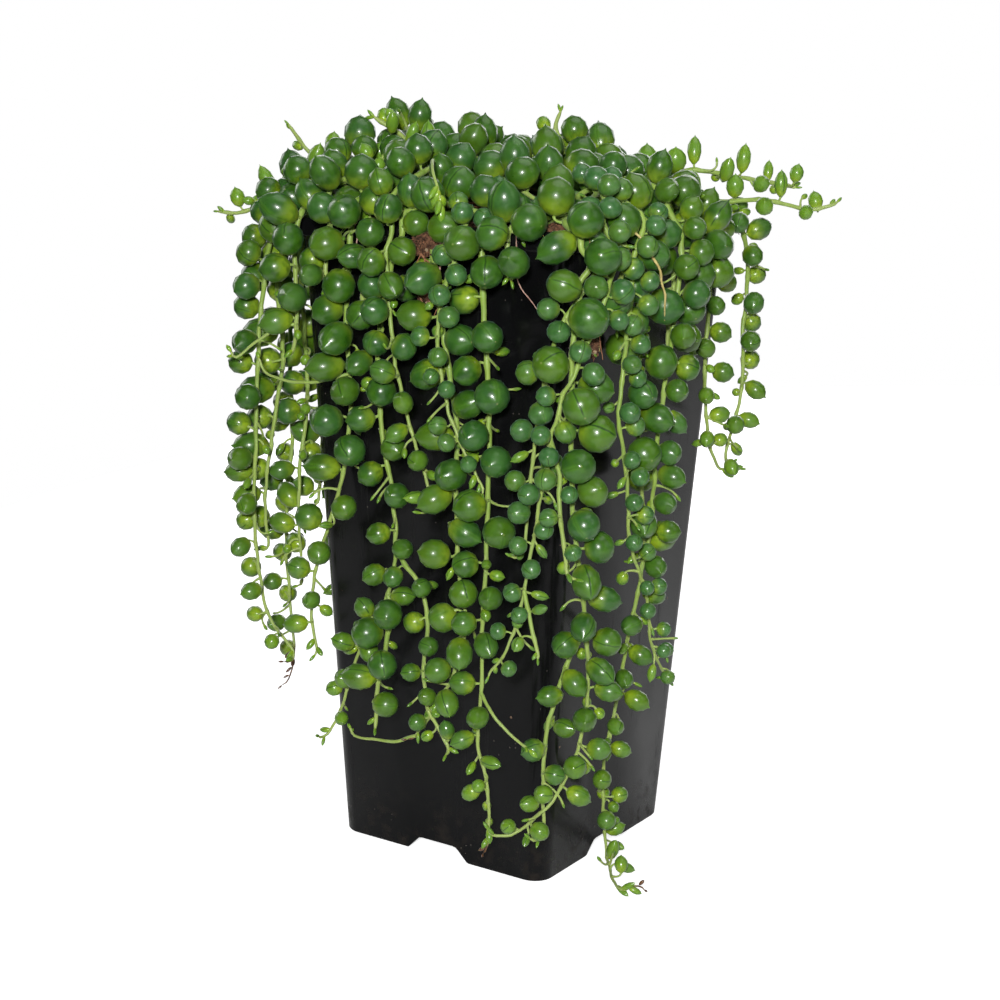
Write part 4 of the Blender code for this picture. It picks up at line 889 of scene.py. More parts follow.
def stem_finish():
    """Yellow-green stems, waxy and lighter where they are young, corky at the root."""
    material, made, skin = new_finish(
        "stem_skin",
        Roughness=0.42,
        IOR=1.42,
        Subsurface_Weight=0.1,
        Subsurface_Radius=(0.6, 1.0, 0.3),
        Subsurface_Scale=0.6 * MM,
        Sheen_Weight=0.12,
        Sheen_Roughness=0.4,
    )
    place = made.place()
    along = made.attribute("along")
    stretched = made.vector("MULTIPLY", place, (1.0, 1.0, 0.35))
    flesh = made.group(
        TWO_TONE,
        Place=stretched,
        Scale=0.5,
        Spread=0.22,
        First=colour(0.205, 0.33, 0.042),
        Second=colour(0.29, 0.41, 0.075),
    )["Color"]
    pale = made.blend(made.rise(along, 0.3, 1.0, 0.0, 0.6), flesh, colour(0.36, 0.43, 0.13))
    corky = made.rise(along, 0.09, 0.0, 0.0, 0.75)
    old = made.blend(corky, pale, colour(0.20, 0.15, 0.055))
    spots = made.group(SPECKS, Place=place, Cells=1.1, Size=0.2, Cover=0.3)["Mask"]
    freckled = made.blend(made.math("MULTIPLY", spots, 0.45), old, colour(0.22, 0.20, 0.07))
    film = made.group(BLOOM, Place=place, Scale=0.3, Strength=0.35)["Mask"]
    waxed = made.blend(film, freckled, colour(0.27, 0.39, 0.15))
    crisp = made.group(
        TWO_TONE,
        Place=place,
        Scale=1.1,
        Spread=0.2,
        First=colour(0.035, 0.014, 0.012),
        Second=colour(0.20, 0.10, 0.045),
    )["Color"]
    dry = made.attribute("withered")
    made.wire(made.blend(dry, waxed, crisp), skin["Base Color"])
    made.wire(made.rise(made.noise(place, 1.4), 0.3, 0.7, 0.36, 0.52), skin["Roughness"])
    ridges = made.noise(made.vector("MULTIPLY", place, (3.0, 3.0, 0.5)), 1.0, 2.0)
    set_bump(made, ridges, skin, 0.3, 0.15)
    return material


def pot_finish():
    """Black moulded plastic, satin, with watering marks, scuffs and dust."""
    material, made, skin = new_finish(
        "pot_black_plastic", IOR=1.5, Specular_IOR_Level=0.14, Coat_Roughness=0.12
    )
    place = made.place()
    base = made.group(
        TWO_TONE,
        Place=place,
        Scale=0.03,
        Spread=0.3,
        First=colour(0.0028, 0.0029, 0.0031),
        Second=colour(0.0052, 0.0053, 0.0058),
    )["Color"]
    down = made.vector("MULTIPLY", place, (1.0, 1.0, 0.045))
    runs = made.rise(made.noise(down, 0.30, 4.0, 0.65), 0.56, 0.8, 0.0, 0.5)
    rubbed = made.vector("MULTIPLY", place, (0.12, 0.12, 1.6))
    scuffs = made.rise(made.noise(rubbed, 0.55, 5.0, 0.7), 0.62, 0.8, 0.0, 0.3)
    film = made.math("MAXIMUM", runs, scuffs)
    dusty = made.blend(made.math("MULTIPLY", film, 0.09), base, colour(0.16, 0.155, 0.15))
    low = made.rise(made.part(place, 2), 26.0, 0.0, 0.0, 1.0)
    soil = made.math("MULTIPLY", low, made.rise(made.noise(place, 0.22, 4.0), 0.45, 0.75))
    earthy = made.blend(made.math("MULTIPLY", soil, 0.12), dusty, colour(0.11, 0.08, 0.055))
    fine = made.group(SPECKS, Place=place, Cells=0.5, Size=0.10, Cover=0.12)["Mask"]
    coarse = made.group(SPECKS, Place=place, Cells=0.13, Size=0.055, Cover=0.3)["Mask"]
    dust = made.blend(made.math("MULTIPLY", fine, 0.3), earthy, colour(0.24, 0.21, 0.18))
    crumbs = made.blend(made.math("MULTIPLY", coarse, 0.7), dust, colour(0.22, 0.14, 0.09))
    made.wire(crumbs, skin["Base Color"])
    grain = made.noise(place, 2.6, 2.0)
    rough = made.rise(made.noise(place, 0.05, 3.0), 0.3, 0.7, 0.17, 0.27)
    rough = made.math("ADD", rough, made.math("MULTIPLY", film, 0.4))
    made.wire(made.math("ADD", rough, made.math("MULTIPLY", soil, 0.3), clamp=True),
              skin["Roughness"])
    made.wire(made.rise(film, 0.3, 0.0, 0.0, 0.08), skin["Coat Weight"])
    swell = made.math("MULTIPLY", made.noise(place, 0.05, 1.0), 6.0)
    set_bump(made, made.math("ADD", swell, made.math("MULTIPLY", grain, 0.25)), skin, 0.35, 0.12)
    return material


def mix_finish():
    """Peat and coir: dark brown, dry and crumbly, with reddish and pale bits."""
    material, made, skin = new_finish("peat_and_coir_mix", Roughness=0.95, IOR=1.4)
    place = made.place()
    peat = made.group(
        TWO_TONE,
        Place=place,
        Scale=0.7,
        Spread=0.2,
        First=colour(0.045, 0.021, 0.012),
        Second=colour(0.19, 0.090, 0.048),
    )["Color"]
    reddish = made.rise(made.noise(place, 1.9, 3.0), 0.5, 0.68)
    warm = made.blend(made.math("MULTIPLY", reddish, 0.65), peat, colour(0.36, 0.165, 0.085))
    bits = made.group(SPECKS, Place=place, Cells=0.55, Size=0.3, Cover=0.12)["Mask"]
    made.wire(made.blend(bits, warm, colour(0.42, 0.31, 0.19)), skin["Base Color"])
    set_bump(made, made.noise(place, 2.4, 5.0, 0.7), skin, 0.9, 0.9)
    return material


def strand_finish(name, first, second, roughness):
    """A dry plant fibre, its colour changing along it."""
    material, made, skin = new_finish(name, IOR=1.4)
    place = made.place()
    skin_colour = made.group(
        TWO_TONE, Place=place, Scale=0.35, Spread=0.25, First=colour(*first), Second=colour(*second)
    )["Color"]
    spots = made.group(SPECKS, Place=place, Cells=1.3, Size=0.3, Cover=0.35)["Mask"]
    dark = made.blend(0.6, skin_colour, colour(0.03, 0.015, 0.008))
    made.wire(made.blend(made.math("MULTIPLY", spots, 0.5), skin_colour, dark), skin["Base Color"])
    made.wire(made.rise(made.noise(place, 1.0), 0.3, 0.7, roughness, roughness + 0.15),
              skin["Roughness"])
    set_bump(made, made.noise(place, 3.5, 3.0), skin, 0.5, 0.1)
    return material


# ---------------------------------------------------------------- making pieces


def finished(piece, slot, *nodes):
    """A finished piece: it rides on the whole, and the given CAD nodes are hidden."""
    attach(piece, "root")
    if nodes:
        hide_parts(*nodes)
    return piece


def plain_object(name, mesh, *materials):
    for material in materials:
        mesh.materials.append(material)
    piece = bpy.data.objects.new(name, mesh)
    bpy.context.collection.objects.link(piece)
    return piece


def mesh_of(name, points, faces, smooth=True):
    """A mesh from points in millimetres, its faces turned outwards."""
    mesh = bpy.data.meshes.new(name)
    mesh.from_pydata([tuple(MM * float(c) for c in point) for point in points], [], faces)
    edit = bmesh.new()
    edit.from_mesh(mesh)
    bmesh.ops.recalc_face_normals(edit, faces=edit.faces)
    edit.to_mesh(mesh)
    edit.free()
    mesh.polygons.foreach_set("use_smooth", [smooth] * len(mesh.polygons))
    return mesh


def set_values(mesh, values, kinds):
    """Stores named values on a mesh's points."""
    for key, kind in kinds.items():
        data = np.asarray(values[key])
        made = mesh.attributes.new(key, kind, "POINT")
        field = "vector" if kind == "FLOAT_VECTOR" else "value"
        made.data.foreach_set(field, data.reshape(-1))


def grown(name, framework, tree, **values):
    """The plain mesh that a geometry tree makes from a framework."""
    holder = plain_object(name, framework)
    modifier = holder.modifiers.new(tree.name, "NODES")
    modifier.node_group = tree
    for item in tree.interface.items_tree:
        key = item.name.replace(" ", "_")
        if item.item_type == "SOCKET" and item.in_out == "INPUT" and key in values:
            modifier[item.identifier] = values[key]
    graph = bpy.context.evaluated_depsgraph_get()
    mesh = bpy.data.meshes.new_from_object(holder.evaluated_get(graph))
    holder.modifiers.remove(modifier)
    bpy.data.objects.remove(holder)
    bpy.data.meshes.remove(framework)
    mesh.name = name
    return plain_object(name, mesh)


def square_ring(half, z, radius, along_side=0):
    """A round-cornered square, anticlockwise seen from above, with more points on each side."""
    ring = []
    for quarter in range(4):
        for step in range(CORNER_STEPS + 1):
            turn = math.radians(90 * (quarter + step / CORNER_STEPS))
            middle = math.radians(90 * quarter + 45)
            cx = (half - radius) * math.copysign(1, math.cos(middle))
            cy = (half - radius) * math.copysign(1, math.sin(middle))
            ring.append((cx + radius * math.cos(turn), cy + radius * math.sin(turn), z))
        for step in range(along_side):
            share = 2 * (step + 1) / (along_side + 1) - 1
            x, y = half, share * (half - radius)
            for _ in range(quarter + 1):
                x, y = -y, x
            ring.append((x, y, z))
    return ring


def loft(rings):
    """Points and faces of the closed body through rings of equal counts, capped at both ends."""
    count = len(rings[0])
    points = [point for ring in rings for point in ring]
    faces = [tuple(range(count)), tuple(range(len(points) - 1, len(points) - count - 1, -1))]
    for k in range(len(rings) - 1):
        for m in range(count):
            a, b = k * count + m, k * count + (m + 1) % count
            faces.append((a, b, b + count, a + count))
    return points, faces


# ---------------------------------------------------------------- the pot


def cut_away(piece, name, points, faces):
    """Cuts a closed shape out of a piece."""
    cutter = plain_object(name, mesh_of(name, points, faces, False))
    cut = piece.modifiers.new(name, "BOOLEAN")
    cut.operation = "DIFFERENCE"
    cut.solver = "EXACT"
    cut.object = cutter
    graph = bpy.context.evaluated_depsgraph_get()
    mesh = bpy.data.meshes.new_from_object(piece.evaluated_get(graph))
    piece.modifiers.remove(cut)
    piece.data = mesh
    bpy.data.objects.remove(cutter)


def make_pot(material):
    """The thin-walled pot: turned-over rim, tapered walls, notched foot and drained floor."""
    top = POT_HEIGHT - RIM_BAND
    floor_top = FLOOR + WALL
    inner = wall_half(top) - WALL
    rings = [
        square_ring(wall_half(FLOOR) - WALL, FLOOR, CORNER - WALL),
        square_ring(wall_half(0) - WALL, 0.4, CORNER - WALL),
        square_ring(wall_half(0) - WALL + 0.35, 0, CORNER - WALL + 0.35),
        square_ring(wall_half(0) - 0.4, 0, CORNER - 0.4),
        square_ring(wall_half(0), 0.5, CORNER),
        square_ring(wall_half(top) - 0.15, top - 0.6, CORNER),
        square_ring(wall_half(top) + 0.1, top - 0.1, CORNER),
        square_ring(HALF - 0.4, top + 0.05, CORNER),
        square_ring(HALF - 0.05, top + 0.4, CORNER),
    ]
    for turn in (0, 22, 45, 68, 90):
        back = LIP_EDGE * (1 - math.cos(math.radians(turn)))
        up = LIP_EDGE * math.sin(math.radians(turn))
        rings.append(square_ring(HALF - back, POT_HEIGHT - LIP_EDGE + up, CORNER - back))
    rings += [
        square_ring(inner + 0.7, POT_HEIGHT, CORNER - WALL + 0.7),
        square_ring(inner + 0.15, POT_HEIGHT - 0.25, CORNER - WALL),
        square_ring(inner, POT_HEIGHT - 0.8, CORNER - WALL),
        square_ring(inner, top, CORNER - WALL),
        square_ring(wall_half(floor_top) - WALL, floor_top + 0.6, CORNER - WALL),
        square_ring(wall_half(floor_top) - WALL - 0.6, floor_top, CORNER - WALL),
    ]
    mesh = mesh_of("pot_wall_and_rim", *loft(rings), False)
    pot = plain_object("pot_shell", mesh, material)
    for name, along_x in (("notch_x", True), ("notch_y", False)):
        slope = (NOTCH_BASE - NOTCH_TOP) / 2 / NOTCH_HEIGHT
        half = NOTCH_TOP / 2 + slope * (NOTCH_HEIGHT + 0.5)
        ease = 1.2
        profile = [
            (-half, -0.5),
            (half, -0.5),
            (NOTCH_TOP / 2 + slope * ease, NOTCH_HEIGHT - ease),
            (NOTCH_TOP / 2 + 0.15, NOTCH_HEIGHT - 0.3),
            (NOTCH_TOP / 2 - ease, NOTCH_HEIGHT),
            (-NOTCH_TOP / 2 + ease, NOTCH_HEIGHT),
            (-NOTCH_TOP / 2 - 0.15, NOTCH_HEIGHT - 0.3),
            (-NOTCH_TOP / 2 - slope * ease, NOTCH_HEIGHT - ease),
        ]
        bar = []
        for end in (-BASE_WIDTH, BASE_WIDTH):
            bar.append([(end, a, z) if along_x else (a, end, z) for a, z in profile])
        cut_away(pot, name, *loft(bar))
    spots = [(0, 0)] + [(i * DRAIN_PLACE, j * DRAIN_PLACE) for i in (-1, 1) for j in (-1, 1)]
    circle = [math.tau * step / 24 for step in range(24)]
    for k, (x, y) in enumerate(spots):
        rings = [
            [(x + DRAIN_RADIUS * math.cos(t), y + DRAIN_RADIUS * math.sin(t), z) for t in circle]
            for z in (FLOOR - 1, floor_top + 1)
        ]
        cut_away(pot, f"drain_{k + 1}", *loft(rings))
    edit = bmesh.new()
    edit.from_mesh(pot.data)
    bmesh.ops.remove_doubles(edit, verts=edit.verts, dist=0.02 * MM)
    bmesh.ops.dissolve_degenerate(edit, edges=edit.edges, dist=0.01 * MM)
    edit.to_mesh(pot.data)
    edit.free()
    pot.data.polygons.foreach_set("use_smooth", [True] * len(pot.data.polygons))
    pot.data.set_sharp_from_angle(angle=math.radians(38))
    return finished(pot, "pot_plastic", "pot")


# ---------------------------------------------------------------- the potting mix


def lump(x, y):
    """How far the crumbly top stands over or under its even dome."""
    spot = Vector((x, y, 0))
    broad = noise.noise(spot / 11) * 1.5
    crumbs = noise.noise(spot / 3.2 + Vector((9, 4, 2))) * 1.1
    fine = noise.noise(spot / 1.3 + Vector((3, 7, 5))) * 0.7
    return broad + crumbs + fine


def mix_top(x, y):
    return float(mix_height(x, y)) + lump(x, y)


def make_mix(material):
    """The mix as one body: crumbly on top, tapered with the pot below."""
    radius = CORNER - WALL - MIX_GAP
    low = FLOOR + WALL + MIX_GAP
    edge = HALF - RIM_THICKNESS - MIX_GAP
    along_side = int(2 * (edge - radius) / GRAIN)
    count = round(edge / GRAIN)
    rings = [
        square_ring(wall_half(low) - WALL - MIX_GAP, low, radius, along_side),
        square_ring(edge - 1.2, POT_HEIGHT - 14, radius, along_side),
    ]
    outline = square_ring(edge, 0, radius, along_side)
    for k in range(count):
        share = 1 - k / count
        ring = [(share * x, share * y) for x, y, _ in outline]
        rings.append([(x, y, mix_top(x, y)) for x, y in ring])
    points, faces = loft(rings)
    mesh = mesh_of("mix_body", points, faces)
    return finished(plain_object("mix_fill", mesh, material), "potting_mix", "potting_mix")


# ---------------------------------------------------------------- geometry trees


def geometry_tree(name, inputs):
    tree = bpy.data.node_groups.new(name, "GeometryNodeTree")
    tree.interface.new_socket("Geometry", in_out="INPUT", socket_type="NodeSocketGeometry")
    for key, (kind, value) in inputs.items():
        socket = tree.interface.new_socket(key, in_out="INPUT", socket_type="NodeSocket" + kind)
        if value is not None:
            socket.default_value = value
    tree.interface.new_socket("Geometry", in_out="OUTPUT", socket_type="NodeSocketGeometry")
    made = Nodes(tree)
    return tree, made, made.add("NodeGroupInput").outputs, made.add("NodeGroupOutput").inputs[0]


def stored(made, kind, name):
    found = made.add("GeometryNodeInputNamedAttribute", data_type=kind)
    found.inputs["Name"].default_value = name
    return found.outputs["Attribute"]


def tube_nodes(made, chains, sides):
    """Round tubes along chains of edges, as thick as each point says."""
    curve = made.use("GeometryNodeMeshToCurve", chains)
    circle = made.add("GeometryNodeCurvePrimitiveCircle")
    made.wire(sides, circle.inputs["Resolution"])
    circle.inputs["Radius"].default_value = 1.0
    tube = made.add("GeometryNodeCurveToMesh")
    made.wire(curve, tube.inputs["Curve"])
    made.wire(circle.outputs["Curve"], tube.inputs["Profile Curve"])
    made.wire(stored(made, "FLOAT", "thickness"), tube.inputs["Scale"])
    tube.inputs["Fill Caps"].default_value = True
    return made.use("GeometryNodeSetShadeSmooth", tube.outputs["Mesh"], None, True)


def vine_tree():
    """Stems along the edges of a framework, and a leaf on each of its leaf points."""
    tree, made, given, result = geometry_tree(
        "trailing_vine",
        {
            "Stem Sides": ("Int", 8),
            "Leaf Shapes": ("Collection", None),
            "Stem Finish": ("Material", None),
            "Leaf Finish": ("Material", None),
        },
    )
    stems = tube_nodes(made, given["Geometry"], given["Stem Sides"])
    shapes = made.add("GeometryNodeCollectionInfo", transform_space="ORIGINAL")
    made.wire(given["Leaf Shapes"], shapes.inputs["Collection"])
    shapes.inputs["Separate Children"].default_value = True
    shapes.inputs["Reset Children"].default_value = True
    leaves = made.add("GeometryNodeInstanceOnPoints")
    made.wire(given["Geometry"], leaves.inputs["Points"])
    made.wire(stored(made, "BOOLEAN", "bears_leaf"), leaves.inputs["Selection"])
    made.wire(shapes.outputs[0], leaves.inputs["Instance"])
    leaves.inputs["Pick Instance"].default_value = True
    made.wire(stored(made, "INT", "shape"), leaves.inputs["Instance Index"])
    turned = made.use("FunctionNodeEulerToRotation", stored(made, "FLOAT_VECTOR", "turn"))
    made.wire(turned, leaves.inputs["Rotation"])
    made.wire(stored(made, "FLOAT_VECTOR", "size"), leaves.inputs["Scale"])
    both = made.add("GeometryNodeJoinGeometry")
    for part in (leaves.outputs["Instances"], stems):
        made.wire(part, both.inputs[0])
    whole = made.use("GeometryNodeRealizeInstances", both.outputs[0])
    on_leaf = stored(made, "BOOLEAN", "bears_leaf")
    whole = made.use("GeometryNodeSetMaterial", whole, None, given["Stem Finish"])
    made.wire(made.use("GeometryNodeSetMaterial", whole, on_leaf, given["Leaf Finish"]), result)
    return tree


def strand_tree():
    """Thin fibres along the edges of a framework."""
    tree, made, given, result = geometry_tree(
        "loose_strands", {"Sides": ("Int", 5), "Finish": ("Material", None)}
    )
    tubes = tube_nodes(made, given["Geometry"], given["Sides"])
    whole = made.use("GeometryNodeRealizeInstances", tubes)
    made.wire(made.use("GeometryNodeSetMaterial", whole, None, given["Finish"]), result)
    return tree


def crumb_tree():
    """Rough crumbs strewn over a surface, at random but always alike."""
    tree, made, given, result = geometry_tree(
        "strewn_crumbs",
        {
            "Density": ("Float", 1.0),
            "Smallest": ("Float", 0.4 * MM),
            "Largest": ("Float", 1.4 * MM),
            "Seed": ("Int", 1),
            "Finish": ("Material", None),
        },
    )
    strewn = made.add("GeometryNodeDistributePointsOnFaces")
    made.wire(given["Geometry"], strewn.inputs["Mesh"])
    made.wire(given["Density"], strewn.inputs["Density"])
    made.wire(given["Seed"], strewn.inputs["Seed"])
    crumb = made.add("GeometryNodeMeshIcoSphere")
    crumb.inputs["Radius"].default_value = 1.0
    crumb.inputs["Subdivisions"].default_value = 2
    sizes = made.add("FunctionNodeRandomValue", data_type="FLOAT_VECTOR")
    made.wire(given["Smallest"], sizes.inputs[0])
    made.wire(given["Largest"], sizes.inputs[1])
    made.wire(given["Seed"], sizes.inputs["Seed"])
    turns = made.add("FunctionNodeRandomValue", data_type="FLOAT_VECTOR")
    turns.inputs[1].default_value = (math.tau, math.tau, math.tau)
    crumbs = made.add("GeometryNodeInstanceOnPoints")
    made.wire(strewn.outputs["Points"], crumbs.inputs["Points"])
    made.wire(crumb.outputs["Mesh"], crumbs.inputs["Instance"])
    turned = made.use("FunctionNodeEulerToRotation", turns.outputs[0])
    made.wire(turned, crumbs.inputs["Rotation"])
    made.wire(sizes.outputs[0], crumbs.inputs["Scale"])
    loose = made.use("GeometryNodeRealizeInstances", crumbs.outputs["Instances"])
    dents = made.add("ShaderNodeTexNoise")
    dents.inputs["Scale"].default_value = 0.9 / MM
    dents.inputs["Detail"].default_value = 1.0
    off = made.vector("SUBTRACT", dents.outputs["Color"], (0.5, 0.5, 0.5))
    shift = made.add("ShaderNodeVectorMath", operation="SCALE")
    made.wire(off, shift.inputs[0])
    shift.inputs["Scale"].default_value = 1.5 * MM
    moved = made.add("GeometryNodeSetPosition")
    made.wire(loose, moved.inputs["Geometry"])
    made.wire(shift.outputs[0], moved.inputs["Offset"])
    made.wire(
        made.use("GeometryNodeSetMaterial", moved.outputs[0], None, given["Finish"]), result
    )
    return tree


# ---------------------------------------------------------------- loose bits

# Each strand: its finish, its radius in the middle, and the points that it passes through.
Strand = namedtuple("Strand", "finish radius points")

STRANDS = [
    Strand("straw", 0.42, ((56, -42, 219), (66, -38, 213), (70.5, -35, 206), (72, -31.5, 199),
                           (71.5, -28, 192), (70, -25, 186))),
    Strand("straw", 0.30, ((42, -50, 214.5), (47, -48, 214.2), (51, -49, 214.4))),
    Strand("straw", 0.34, ((38, -52, 213.9), (43, -55.6, 213.9), (46, -58, 212))),
    Strand("root", 0.34, ((9, -56, 214), (11, -60, 205), (12, -63, 198), (12.5, -64, 194),
                          (13.7, -64, 189))),
    Strand("root", 0.22, ((34, -54, 214), (36.5, -57.2, 206), (37, -56.4, 197),
                          (41, -56, 192.5), (44.3, -55.6, 188.5))),
    Strand("root", 0.24, ((50, 30, 214), (54, 34, 214.3), (58, 38, 213), (60, 40, 206))),
    Strand("root", 0.25, ((-20, -52, 214), (-22, -57, 212), (-23, -58.5, 204), (-21, -58, 197))),
    Strand("coir", 0.30, ((-2, -54, 214), (1, -59.5, 208), (4, -60, 203), (9, -60.5, 201))),
    Strand("coir", 0.26, ((14, -54, 214), (10, -59.4, 209), (4, -60, 206), (1, -60.5, 200))),
    Strand("coir", 0.28, ((4, -60, 204), (6, -61.4, 199), (3, -61, 193), (6, -60.8, 188))),
    Strand("coir", 0.24, ((10, -60.4, 201), (8, -61.6, 196), (11, -61, 191), (9, -60.6, 186))),
    Strand("coir", 0.26, ((60, -55, 212), (62.5, -54, 199), (63, -53, 186), (63, -50, 176))),
    Strand("coir", 0.22, ((57, -50, 213.9), (61, -51, 206), (62.5, -52, 192), (61.5, -53, 181))),
    Strand("coir", 0.24, ((48, 44, 215), (53, 42, 216.5), (57, 45, 213.9), (59, 47, 209))),
]

# Each clump of spilled mix: its middle, and half its size along x, y and z.
Clump = namedtuple("Clump", "middle half")

CLUMPS = [
    Clump((5.5, -58.4, 207.5), (6.2, 2.8, 3.6)),
    Clump((6.0, -59.0, 193.0), (5.0, 2.6, 3.4)),
    Clump((60.4, -51.5, 180.0), (1.6, 1.9, 3.2)),
    Clump((44.0, -50.5, 213.2), (8.0, 2.2, 1.7)),
    Clump((50.5, 40.0, 214.0), (3.6, 8.0, 2.6)),
    Clump((-30.0, -51.0, 213.6), (6.0, 2.4, 1.8)),
    Clump((-51.0, -8.0, 213.8), (2.6, 7.0, 1.9)),
]


# How many fibres of each kind lie loose on the mix, and how many are bent round each clump.
LOOSE_FIBRES = {"coir": 110, "straw": 16, "root": 20}
CLUMP_FIBRES = {"coir": 9, "straw": 1, "root": 2}


def add_strand(framework, points, radius, rng):
    path, _ = smooth_path(points, 1.6)
    share = np.linspace(0, 1, len(path))
    thickness = radius * (0.35 + 0.65 * np.sin(math.pi * share) ** 0.6)
    bends = [0.5 * noise.noise_vector(Vector(point) / 4 + Vector((5, 0, 0))) for point in path]
    framework.add_chain(path + bends, thickness * rng.uniform(0.85, 1.15, len(path)), share)


def fibre_points(rng):
    """A short fibre lying on the mix, mostly in it, with one end free."""
    x, y = rng.uniform(-46, 46, 2)
    heading, length = rng.uniform(0, math.tau), rng.uniform(7, 17)
    bend = rng.uniform(-1.1, 1.1)
    points = []
    for share in np.linspace(0, 1, 5):
        turn = heading + bend * share
        px = np.clip(x + length * share * math.cos(turn), -50, 50)
        py = np.clip(y + length * share * math.sin(turn), -50, 50)
        points.append((px, py, mix_top(px, py) + 0.2 + 2.4 * share**2 * rng.uniform(0.2, 1)))
    return points


def wrapped_fibre(clump, rng):
    """A fibre bent round a clump, its ends standing off."""
    start, end = unit(rng.normal(0, 1, 3)), unit(rng.normal(0, 1, 3))
    points = []
    for share in np.linspace(0, 1, 5):
        side = unit((1 - share) * start + share * end)
        off = 1.0 + 0.5 * (2 * share - 1) ** 2 * rng.uniform(0.3, 1)
        points.append(np.array(clump.middle) + np.array(clump.half) * side * off)
    return points


def make_strands(finishes):
    """The coir, straws and dead roots that stick out of the mix and hang over the rim."""
    rng = np.random.default_rng(SEED + 9)
    tree = strand_tree()
    for kind in LOOSE_FIBRES:
        framework = Framework()
        for strand in STRANDS:
            if strand.finish == kind:
                add_strand(framework, strand.points, strand.radius, rng)
        for _ in range(LOOSE_FIBRES[kind]):
            add_strand(framework, fibre_points(rng), rng.uniform(0.16, 0.32), rng)
        for clump in CLUMPS:
            for _ in range(CLUMP_FIBRES[kind]):
                add_strand(framework, wrapped_fibre(clump, rng), rng.uniform(0.14, 0.26), rng)
        piece = grown("loose_" + kind, framework.mesh(kind), tree, Sides=5, Finish=finishes[kind])
        finished(piece, "potting_mix")


def make_clump(clump, rng):
    """Points and faces of one rough lump."""
    edit = bmesh.new()
    bmesh.ops.create_icosphere(edit, subdivisions=3, radius=1.0)
    shift = Vector(rng.uniform(-50, 50, 3))
    for point in edit.verts:
        rough = 1 + 0.35 * noise.noise(point.co * 1.7 + shift) + 0.2 * noise.noise(
            point.co * 4 + shift
        )
        scaled = [float(h) * c * rough for h, c in zip(clump.half, point.co)]
        point.co = Vector(clump.middle) + Vector(scaled)
    points = [tuple(point.co) for point in edit.verts]
    faces = [tuple(corner.index for corner in face.verts) for face in edit.faces]
    edit.free()
    return points, faces


def make_spill(material):
    """Clumps of mix on the rim and among the stems, and the crumbs over them and over the mix."""
    rng = np.random.default_rng(SEED + 5)
    points, faces = [], []
    for clump in CLUMPS:
        more, ends = make_clump(clump, rng)
        faces += [tuple(len(points) + k for k in face) for face in ends]
        points += more
    tree = crumb_tree()
    spill = finished(
        plain_object("spilled_clumps", mesh_of("clumps", points, faces), material), "potting_mix"
    )
    finished(
        grown("crumbs_on_clumps", spill.data.copy(), tree, Density=0.45 / MM**2, Smallest=0.35 * MM,
              Largest=1.1 * MM, Seed=3, Finish=material),
        "potting_mix",
    )
    half = HALF - RIM_THICKNESS - 1.5
    count = 40
    steps = np.linspace(-half, half, count)
    cover = [(x, y, mix_top(x, y)) for y in steps for x in steps]
    quads = [
        (j * count + i, j * count + i + 1, (j + 1) * count + i + 1, (j + 1) * count + i)
        for j in range(count - 1)
        for i in range(count - 1)
    ]
    finished(
        grown("crumbs_on_mix", mesh_of("cover", cover, quads), tree, Density=0.05 / MM**2,
              Smallest=0.5 * MM, Largest=1.7 * MM, Seed=8, Finish=material),
        "potting_mix",
    )


# ---------------------------------------------------------------- leaf shapes

# The rings of a leaf: their angles in degrees, from its stalk end over its side to its tip.
ROUND_ANGLES = (12, 45, 78, 111, 141, 168)

# Each shape: points round it, width, length, how pointed it is, how far its tip is drawn out.
LeafShape = namedtuple("LeafShape", "name around width length taper tip")

LEAF_SHAPES = [
    LeafShape("leaf_0_pearl", 12, 1.0, 0.99, 1.0, 0.09),
    LeafShape("leaf_1_broad", 12, 1.02, 0.94, 0.97, 0.07),
    LeafShape("leaf_2_pointed", 12, 0.99, 1.02, 1.08, 0.12),
    LeafShape("leaf_3_lemon", 12, 0.93, 1.14, 1.36, 0.18),
    LeafShape("leaf_4_spindle", 10, 0.72, 1.30, 1.50, 0.18),
    LeafShape("leaf_5_bud", 8, 0.55, 1.35, 1.35, 0.2),
]


def make_leaf_shape(shape):
    """One leaf of unit size: its stalk end down, its tip up."""
    swell = 1 / math.cos(math.pi / shape.around / 2)
    rings = []
    for degrees in ROUND_ANGLES:
        angle = math.radians(degrees)
        upper = max(0.0, -math.cos(angle))
        wide = shape.width * swell * math.sin(angle) ** (1 + (shape.taper - 1) * upper)
        lower_pull = 0.35 * (shape.taper - 1) * max(0.0, math.cos(angle)) ** 2
        high = -shape.length * math.cos(angle) - lower_pull
        high += 0.12 * (shape.taper - 1) * upper**2
        ring = [math.tau * k / shape.around for k in range(shape.around)]
        rings.append([(wide * math.cos(t), wide * math.sin(t), high) for t in ring])
    top = rings[-1][0][2]
    points = [point for ring in rings for point in ring] + [(0, 0, top + shape.tip)]
    count = shape.around
    faces = [tuple(reversed(range(count)))]
    for k in range(len(rings) - 1):
        for m in range(count):
            a, b = k * count + m, k * count + (m + 1) % count
            faces.append((a, b, b + count, a + count))
    last = len(points) - 1
    faces += [(last - count + m, last - count + (m + 1) % count, last) for m in range(count)]
    mesh = bpy.data.meshes.new(shape.name)
    mesh.from_pydata(points, [], faces)
    mesh.polygons.foreach_set("use_smooth", [True] * len(faces))
    own = np.array(points)
    own[:, 2] /= shape.length
    own[-1, 2] = 1.25
    set_values(mesh, {"leaf_place": own}, {"leaf_place": "FLOAT_VECTOR"})
    return bpy.data.objects.new(shape.name, mesh)


def leaf_collection():
    shapes = bpy.data.collections.new("leaf_shapes")
    for shape in LEAF_SHAPES:
        shapes.objects.link(make_leaf_shape(shape))
    return shapes


# ---------------------------------------------------------------- vines

